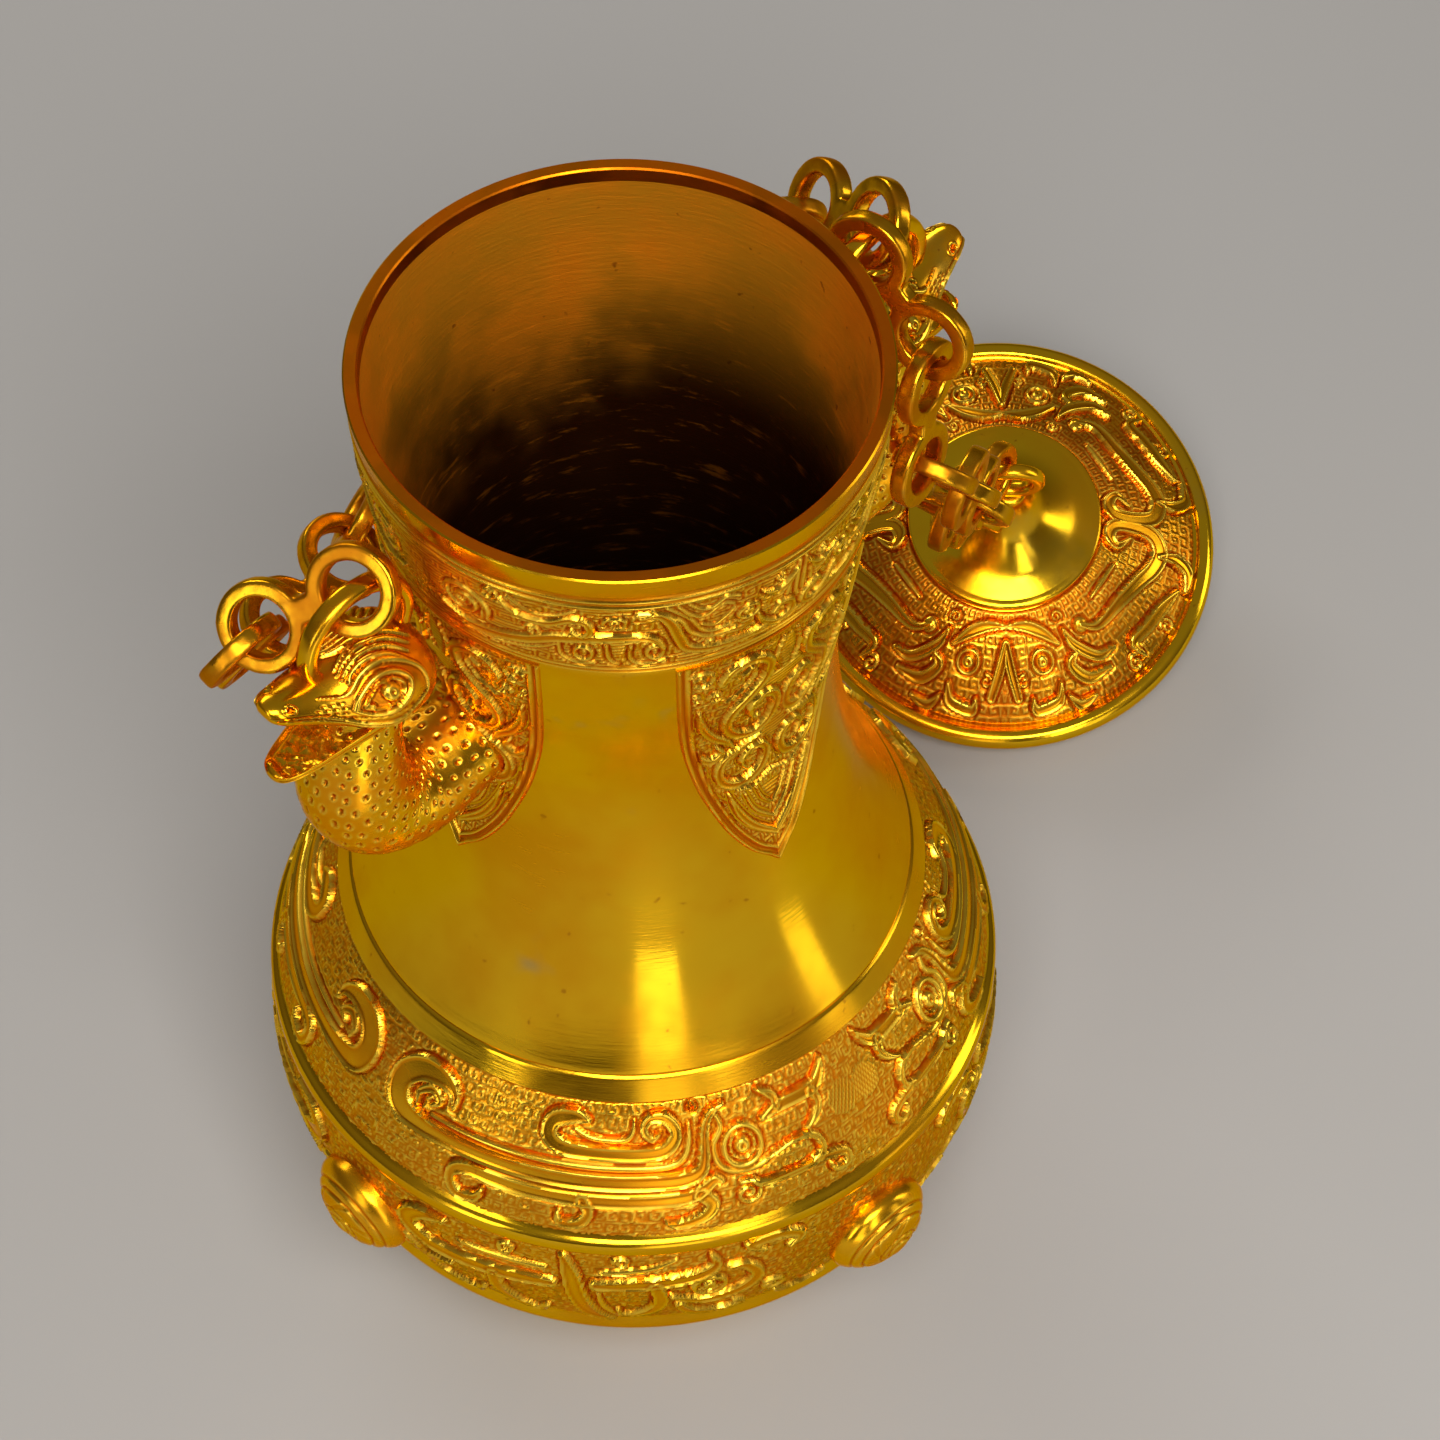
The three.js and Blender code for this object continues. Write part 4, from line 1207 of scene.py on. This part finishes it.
finishes = {
    "gilt_plain": {
        "base": (0.90, 0.53, 0.014), "warm": (0.80, 0.37, 0.008), "grey": (0.34, 0.34, 0.18),
        "speck": (0.5, 0.2, 0.01), "cloudScale": 20.0, "patches": 0.85, "roughness": (0.12, 0.27),
        "scratch": 0.2, "carved": False,
    },
    "gilt_inside": {
        "base": (0.95, 0.42, 0.016), "warm": (0.80, 0.26, 0.006), "grey": (0.30, 0.06, 0.002),
        "speck": (0.25, 0.05, 0.002), "cloudScale": 22.0, "patches": 0.5, "roughness": (0.36, 0.56),
        # deep is a painted shade colour for the lower inside, laid below the two heights that follow
        "scratch": 0.9, "carved": False, "metal": 0.7, "deep": (0.035, 0.008, 0.001),
        "deepBelow": (0.197, 0.246),
    },
    "gilt_lip": {
        "base": (0.62, 0.17, 0.004), "warm": (0.5, 0.11, 0.003), "grey": (0.3, 0.12, 0.01),
        "speck": (0.3, 0.08, 0.003), "cloudScale": 60.0, "patches": 0.5, "roughness": (0.3, 0.46),
        "scratch": 0.3, "carved": False,
    },
    "gilt_carved": {
        "base": (0.93, 0.49, 0.012), "warm": (0.88, 0.37, 0.008), "grey": (0.7, 0.38, 0.02),
        "speck": (0.6, 0.2, 0.01), "cloudScale": 40.0, "patches": 0.3, "roughness": (0.18, 0.32),
        # the hollow colour here is dirt with painted shade; the ridge colour on the next line is rubbed
        # gilding with a painted highlight
        "scratch": 0.0, "carved": True, "dirtAndShade": (0.62, 0.15, 0.003), "ground": 0.75,
        "rubbedAndLit": (0.98, 0.68, 0.06), "grain": 0.5,
    },
    "gilt_hollowed": {
        "base": (0.92, 0.48, 0.012), "warm": (0.84, 0.34, 0.007), "grey": (0.6, 0.34, 0.03),
        "speck": (0.5, 0.16, 0.01), "cloudScale": 50.0, "patches": 0.4, "roughness": (0.18, 0.34),
        # the hollow colour here is dirt with painted shade; the ridge colour on the next line is rubbed
        # gilding with a painted highlight
        "scratch": 0.0, "carved": True, "dirtAndShade": (0.50, 0.085, 0.002), "ground": 0.85,
        "rubbedAndLit": (0.98, 0.66, 0.06), "grain": 0.5,
    },
    "gilt_serpent": {
        "base": (0.92, 0.52, 0.012), "warm": (0.86, 0.34, 0.008), "grey": (0.5, 0.38, 0.06),
        "speck": (0.5, 0.18, 0.01), "cloudScale": 55.0, "patches": 0.4, "roughness": (0.16, 0.3),
        # the hollow colour here is dirt with painted shade; the ridge colour on the next line is rubbed
        # gilding with a painted highlight
        "scratch": 0.0, "carved": True, "dirtAndShade": (0.5, 0.09, 0.002), "ground": 0.8,
        "rubbedAndLit": (0.98, 0.68, 0.06), "grain": 0.2,
    },
    "gilt_chain": {
        "base": (0.76, 0.38, 0.012), "warm": (0.56, 0.19, 0.006), "grey": (0.34, 0.2, 0.03),
        "speck": (0.34, 0.1, 0.006), "cloudScale": 85.0, "patches": 0.5, "roughness": (0.2, 0.38),
        "scratch": 0.0, "carved": False,
    },
    "gilt_lid": {
        "base": (0.94, 0.58, 0.014), "warm": (0.9, 0.44, 0.01), "grey": (0.6, 0.45, 0.08),
        "speck": (0.55, 0.22, 0.01), "cloudScale": 30.0, "patches": 0.3, "roughness": (0.12, 0.26),
        "scratch": 0.0, "carved": False,
    },
    "bronze_plain": {
        "base": (0.42, 0.22, 0.09), "warm": (0.34, 0.15, 0.05), "grey": (0.25, 0.2, 0.12),
        "speck": (0.15, 0.08, 0.03), "cloudScale": 50.0, "patches": 0.6, "roughness": (0.36, 0.55),
        "scratch": 0.3, "carved": False,
    },
}


def goldMaterial(name):
    plan = finishes[name]
    material = bpy.data.materials.new(name)
    material.use_nodes = True
    tree = material.node_tree
    tree.nodes.clear()
    shader = node(tree, "ShaderNodeBsdfPrincipled", {
        "Metallic": plan.get("metal", 1.0), "Specular Tint": (1.0, 0.72, 0.3, 1.0)})
    surface = node(tree, "ShaderNodeOutputMaterial").inputs["Surface"]
    tree.links.new(shader.outputs[0], surface)
    place = node(tree, "ShaderNodeTexCoord").outputs["Object"]
    effect = {key: node(tree, "ShaderNodeGroup", node_tree=group) for key, group in
              (("gilt", tarnish), ("wearAndLight", wearAndPaintedLight), ("marks", scratches))}
    for group in effect.values():
        feed(tree, group.inputs["Vector"], place)
    feed(tree, effect["gilt"].inputs["Scale"], plan["cloudScale"])
    clouds, patches, specks = (effect["gilt"].outputs[k] for k in ("Clouds", "Patches", "Specks"))
    colour = doMix(tree, clouds, plan["base"], plan["warm"])
    colour = doMix(tree, doTimes(tree, patches, plan["patches"]), colour, plan["grey"])
    colour = doMix(tree, doTimes(tree, specks, 0.7), colour, plan["speck"])
    # the inside is painted darker further down, from the upper to the lower of two heights in metres:
    # painted shade where little light reaches
    if "deep" in plan:
        height = node(tree, "ShaderNodeSeparateXYZ", {"Vector": place}).outputs["Z"]
        uneven = doMath(tree, "ADD", height, doTimes(tree, clouds, 0.018))
        light = doMap(tree, uneven, *plan["deepBelow"])
        colour = doMix(tree, light, plan["deep"], colour)
    roughness = doMap(tree, clouds, 0.0, 1.0, *plan["roughness"])
    grain = doNoise(tree, place, 900.0, 3.0, 0.6)
    bump = node(tree, "ShaderNodeBump", {"Height": grain, "Distance": 0.00005, "Strength": 0.25})
    if plan["carved"]:
        wornAndLit, recess, crease = (node(tree, "ShaderNodeAttribute", attribute_name=key).outputs["Fac"]
                                for key in ("wornAndLit", "recess", "crease"))
        wearAndLight = effect["wearAndLight"]
        feed(tree, wearAndLight.inputs["Worn"], wornAndLit)
        feed(tree, wearAndLight.inputs["Recess"], recess)
        # hollows and creases take the darker colour: dirt, and painted shade
        sunk = doTimes(tree, wearAndLight.outputs["Dirt"], plan["ground"])
        lines = doTimes(tree, crease, 0.9)
        colour = doMix(tree, doMath(tree, "MAXIMUM", sunk, lines), colour, plan["dirtAndShade"])
        # raised edges take a brighter yellow: rubbed gilding, and a painted highlight
        colour = doMix(tree, doTimes(tree, wearAndLight.outputs["Rubbed"], 0.8), colour, plan["rubbedAndLit"])
        roughness = doMath(tree, "ADD", roughness, doTimes(tree, wearAndLight.outputs["Dirt"], 0.14))
        feed(tree, bump.inputs["Height"], doNoise(tree, place, 2600.0, 2.0, 0.5))
        feed(tree, bump.inputs["Distance"], 0.00012)
        feed(tree, bump.inputs["Strength"], doTimes(tree, recess, plan["grain"]))
    if plan["scratch"]:
        feed(tree, bump.inputs["Height"], effect["marks"].outputs["Height"])
        feed(tree, bump.inputs["Strength"], plan["scratch"])
        feed(tree, bump.inputs["Distance"], 0.00012)
        streak = doTimes(tree, effect["marks"].outputs["Streaks"], plan["scratch"])
        colour = doMix(tree, doTimes(tree, streak, 0.35), colour, plan["warm"])
        roughness = doMath(tree, "ADD", roughness, doTimes(tree, streak, 0.1))
    for label, value in (("Base Color", colour), ("Roughness", roughness), ("Normal", bump.outputs[0])):
        feed(tree, shader.inputs[label], value)
    return material


gilding = {name: goldMaterial(name) for name in finishes}
print("finishes made", len(gilding))


# Chain links, drawn as wire rings by one tree and worked over by another once the voxels have fused them

link = {
    "ringRadius": 6.8,
    "spacing": 18.6,
    "wireWide": 3.1,
    "wireTall": 3.4,
    "corner": 0.6,
    "waistWide": 5.0,
    "voxel": 0.4,
    "smoothing": 1,
    "dents": 0.10,
}


def realWithMaterial(tree, geometry, material):
    real = node(tree, "GeometryNodeRealizeInstances", {"Geometry": geometry}).outputs[0]
    return node(tree, "GeometryNodeSetMaterial", {"Geometry": real, "Material": material}).outputs[0]


def filletedWire(tree, given, wide):
    # a rectangular section with rounded corners
    size = {"Width": wide, "Height": given["Wire Tall"]}
    outline = node(tree, "GeometryNodeCurvePrimitiveQuadrilateral", size)
    corners = {"Curve": outline.outputs[0], "Count": 4, "Radius": given["Corner"]}
    return node(tree, "GeometryNodeFilletCurve", corners, mode="POLY").outputs[0]


def makeWireTree():
    tree, given, outputs = newTree("chain_link_wire", "GeometryNodeTree", [
        ("Geometry", "Geometry"), ("Ring Radius", "Float", link["ringRadius"] * mm),
        ("Ring Spacing", "Float", link["spacing"] * mm), ("Wire Wide", "Float", 0.003),
        ("Wire Tall", "Float", 0.003), ("Corner", "Float", 0.0008), ("Waist Wide", "Float", 0.004),
        ("Material", "Material")], [("Geometry", "Geometry")])
    section = filletedWire(tree, given, given["Wire Wide"])
    size = {"Resolution": 72, "Radius": given["Ring Radius"]}
    circle = node(tree, "GeometryNodeCurvePrimitiveCircle", size)
    ring = node(tree, "GeometryNodeCurveToMesh", {"Curve": circle.outputs[0], "Profile Curve": section})
    half = doTimes(tree, given["Ring Spacing"], 0.5)
    pieces = []
    for way in (1.0, -1.0):
        shift = node(tree, "ShaderNodeCombineXYZ", {"X": doTimes(tree, half, way)}).outputs[0]
        placed = {"Geometry": ring.outputs[0], "Translation": shift}
        pieces.append(node(tree, "GeometryNodeTransform", placed).outputs[0])
    reach = doMath(tree, "SUBTRACT", half, given["Ring Radius"])
    reach = node(tree, "ShaderNodeCombineXYZ", {"X": reach}).outputs[0]
    back = node(tree, "ShaderNodeVectorMath", {0: reach, 1: (-1, 1, 1)}, operation="MULTIPLY").outputs[0]
    bar = node(tree, "GeometryNodeCurvePrimitiveLine", {"Start": back, "End": reach}).outputs[0]
    waist = filletedWire(tree, given, given["Waist Wide"])
    sweep = {"Curve": bar, "Profile Curve": waist, "Fill Caps": True}
    pieces.append(node(tree, "GeometryNodeCurveToMesh", sweep).outputs[0])
    joined = node(tree, "GeometryNodeJoinGeometry")
    for piece in pieces:
        tree.links.new(piece, joined.inputs[0])
    feed(tree, outputs["Geometry"], realWithMaterial(tree, joined.outputs[0], given["Material"]))
    return tree


def makeWorkedTree():
    tree, given, outputs = newTree("hand_worked_surface", "GeometryNodeTree", [
        ("Geometry", "Geometry"), ("Smoothing", "Int", 3), ("Dents", "Float", 0.0001), ("Seed", "Int", 1),
        ("Material", "Material")], [("Geometry", "Geometry")])
    position = node(tree, "GeometryNodeInputPosition").outputs[0]
    blur = {"Iterations": given["Smoothing"]}
    soft = node(tree, "GeometryNodeBlurAttribute", blur, data_type="FLOAT_VECTOR")
    feed(tree, [s for s in soft.inputs if s.name == "Value" and s.enabled][0], position)
    blurred = [s for s in soft.outputs if s.enabled][0]
    smooth = node(tree, "GeometryNodeSetPosition", {"Geometry": given["Geometry"], "Position": blurred})
    field = {"Vector": position, "W": given["Seed"], "Scale": 260.0, "Detail": 2.0}
    noise = node(tree, "ShaderNodeTexNoise", field, noise_dimensions="4D").outputs["Fac"]
    depth = doTimes(tree, doMath(tree, "SUBTRACT", noise, 0.5), 2.0)
    normal = node(tree, "GeometryNodeInputNormal").outputs[0]
    along = {0: normal, "Scale": doTimes(tree, depth, given["Dents"])}
    push = node(tree, "ShaderNodeVectorMath", along, operation="SCALE").outputs[0]
    worked = node(tree, "GeometryNodeSetPosition", {"Geometry": smooth.outputs[0], "Offset": push})
    shaded = node(tree, "GeometryNodeSetShadeSmooth", {"Geometry": worked.outputs[0]})
    feed(tree, outputs["Geometry"], realWithMaterial(tree, shaded.outputs[0], given["Material"]))
    return tree


def useTree(piece, tree, values):
    modifier = piece.modifiers.new(tree.name, "NODES")
    modifier.node_group = tree
    sockets = {s.name: s.identifier for s in tree.interface.items_tree if s.in_out == "INPUT"}
    for key, value in values.items():
        modifier[sockets[key]] = value


wireTree, workedTree = makeWireTree(), makeWorkedTree()


def makeLink(name, seed, place):
    base = bpy.data.objects.new(name, bpy.data.meshes.new(name))
    bpy.context.scene.collection.objects.link(base)
    useTree(base, wireTree, {
        "Ring Radius": link["ringRadius"] * mm, "Ring Spacing": link["spacing"] * mm,
        "Wire Wide": link["wireWide"] * mm, "Wire Tall": link["wireTall"] * mm,
        "Corner": link["corner"] * mm, "Waist Wide": link["waistWide"] * mm,
        "Material": gilding["gilt_chain"]})
    fuse = base.modifiers.new("fused", "REMESH")
    fuse.mode = "VOXEL"
    fuse.voxel_size = link["voxel"] * mm
    useTree(base, workedTree, {"Smoothing": link["smoothing"], "Dents": link["dents"] * mm, "Seed": seed,
                               "Material": gilding["gilt_chain"]})
    made = bpy.data.meshes.new_from_object(base.evaluated_get(bpy.context.evaluated_depsgraph_get()))
    base.modifiers.clear()
    base.data = made
    made.name = name
    matrix = Matrix(place[0].tolist()).to_4x4()
    matrix.translation = Vector(place[1].tolist()) * mm
    made.transform(matrix)
    return base


# Building everything

def build():
    wall = makeVessel()
    index = np.zeros(len(wall.data.polygons), np.int32)
    wall.data.polygons.foreach_get("material_index", index)
    wallFinishes = [gilding[key] for key in ("gilt_plain", "gilt_inside", "gilt_lip")]
    finish(wall, wallFinishes, "bottle", "gilt_vessel", "bottle_shell")
    wall.data.polygons.foreach_set("material_index", index)
    print("vessel wall", len(wall.data.polygons))
    carved, hollowed, onSerpent = (gilding[f"gilt_{key}"] for key in ("carved", "hollowed", "serpent"))
    for ring in (carveRegister("upper_register", upperBeast, vessel["upperRegister"]),
                 carveRegister("lower_register", lowerBeast, vessel["lowerRegister"]), carveNeck()):
        finish(ring, hollowed if ring.name == "neck_band" else carved, "bottle", "gilt_relief")
        print(ring.name, len(ring.data.polygons))
    for i, azimuth in enumerate(leaf["azimuths"], 1):
        finish(makeLeaf(i, azimuth), hollowed, "bottle", "gilt_relief")
    for i, azimuth in enumerate(whorl["azimuths"], 1):
        finish(makeBoss(i, azimuth), carved, "bottle", "gilt_relief", f"whorl_boss_{i}")
    print("leaves and bosses")
    for side, way in (("right", 0), ("left", math.pi)):
        for part, make in (("body", makeTube), ("skull", makeSkull), ("jaw", makeJaw), ("arch", makeArch)):
            replaced = [f"serpent_head_{side}"] if part == "body" else []
            finish(make(f"serpent_{part}_{side}", way), onSerpent, "bottle", "gilt_relief", *replaced)
    print("serpent lugs")
    place = lidPlace()
    finish(makeLidBody(place), gilding["gilt_lid"], "lid_body", "gilt_vessel", "lid")
    finish(makeLidRelief(place), hollowed, "lid_body", "gilt_relief")
    finish(makeLidEye(place), gilding["gilt_lid"], "lid_body", "gilt_vessel")
    print("lid")
    seed = 0
    for run, count in (("left", 4), ("right", 4), ("lid", 8)):
        for i in range(1, count + 1):
            seed += 1
            linkNode = f"{run}_chain_link_{i}"
            piece = makeLink(f"{run}_chain_link_worked_{i}", seed, linkPlace(linkNode))
            finish(piece, gilding["gilt_chain"], f"{run}_link_{i}", "gilt_chain", linkNode)
    print("chain links", seed)
    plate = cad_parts["base_plate"]
    plate.data.materials.clear()
    plate.data.materials.append(gilding["bronze_plain"])


build()


# Camera, floor and light

view = {"from": (-346.34, -405.52, 876.37), "to": (51.19, 30.77, 69.14), "roll": 0.12, "lens": 120.825}


def placeCamera():
    data = bpy.data.cameras.new("photograph")
    data.lens = view["lens"]
    data.sensor_width = 36
    data.clip_end = 20
    camera = bpy.data.objects.new("photograph", data)
    start, end = Vector(view["from"]) * mm, Vector(view["to"]) * mm
    look = (end - start).to_track_quat("-Z", "Y").to_matrix().to_4x4()
    roll = Matrix.Rotation(math.radians(view["roll"]), 4, "Z")
    camera.matrix_world = Matrix.Translation(start) @ look @ roll
    bpy.context.scene.collection.objects.link(camera)
    bpy.context.scene.camera = camera


lighting = {
    "lamps": {
        "over": {"at": (-0.48, -0.72, 1.25), "size": (0.8, 0.6), "watts": 17, "colour": (1, 0.97, 0.93)},
        "front": {"at": (-0.3, -1.3, 0.5), "size": (0.3, 0.8), "watts": 2.0, "colour": (1, 0.98, 0.95)},
        "left": {"at": (-1.3, -0.2, 0.52), "size": (0.3, 0.84), "watts": 2.4, "colour": (1, 0.98, 0.95)},
        "right": {"at": (1.05, -0.75, 0.52), "size": (0.3, 0.84), "watts": 2.4,
                  "colour": (1, 0.97, 0.93)},
        "back": {"at": (0.35, 1.2, 0.8), "size": (0.9, 0.4), "watts": 5, "colour": (1, 0.97, 0.93)},
        "low": {"at": (-0.165, -0.262, 0.086), "size": (0.08, 0.17), "watts": 0.064,
                "colour": (1, 0.97, 0.92)},
        "lowSide": {"at": (0.11, -0.27, 0.076), "size": (0.05, 0.15), "watts": 0.026,
                    "colour": (1, 0.97, 0.92)},
    },
    "aim": (0.03, 0, 0.12),
    "floor": (0.44, 0.435, 0.43),
    "sky": (0.20, 0.185, 0.165),
    "skyLow": (0.09, 0.075, 0.06),
    "background": 0.55,
}


def placeLamps():
    aim = Vector(lighting["aim"])
    for name, plan in lighting["lamps"].items():
        data = bpy.data.lights.new(name, "AREA")
        data.shape = "RECTANGLE"
        data.size, data.size_y = plan["size"]
        data.energy = plan["watts"]
        data.color = plan["colour"]
        lamp = bpy.data.objects.new(name, data)
        lamp.visible_camera = False
        at = Vector(plan["at"])
        towards = (aim - at).to_track_quat("-Z", "Y").to_matrix().to_4x4()
        lamp.matrix_world = Matrix.Translation(at) @ towards
        bpy.context.scene.collection.objects.link(lamp)


def placeFloor():
    mesh = bpy.data.meshes.new("floor")
    mesh.from_pydata([(-3, -3, 0), (3, -3, 0), (3, 3, 0), (-3, 3, 0)], [], [(0, 1, 2, 3)])
    floor = bpy.data.objects.new("floor", mesh)
    bpy.context.scene.collection.objects.link(floor)
    material = bpy.data.materials.new("pale_floor")
    material.use_nodes = True
    shader = material.node_tree.nodes["Principled BSDF"]
    shader.inputs["Base Color"].default_value = (*lighting["floor"], 1)
    shader.inputs["Roughness"].default_value = 0.85
    shader.inputs["Specular IOR Level"].default_value = 0.1
    mesh.materials.append(material)


def placeWorld():
    world = bpy.data.worlds.new("studio")
    bpy.context.scene.world = world
    world.use_nodes = True
    tree = world.node_tree
    way = node(tree, "ShaderNodeTexCoord").outputs["Generated"]
    up = node(tree, "ShaderNodeSeparateXYZ", {"Vector": way}).outputs["Z"]
    sky = doMix(tree, doMap(tree, up, -0.1, 0.9), lighting["skyLow"], lighting["sky"])
    seen = node(tree, "ShaderNodeLightPath").outputs["Is Camera Ray"]
    shown = doMix(tree, seen, sky, (lighting["background"],) * 3)
    feed(tree, tree.nodes["Background"].inputs["Color"], shown)


placeCamera()
placeLamps()
placeFloor()
placeWorld()
bpy.context.scene.view_settings.view_transform = "Standard"
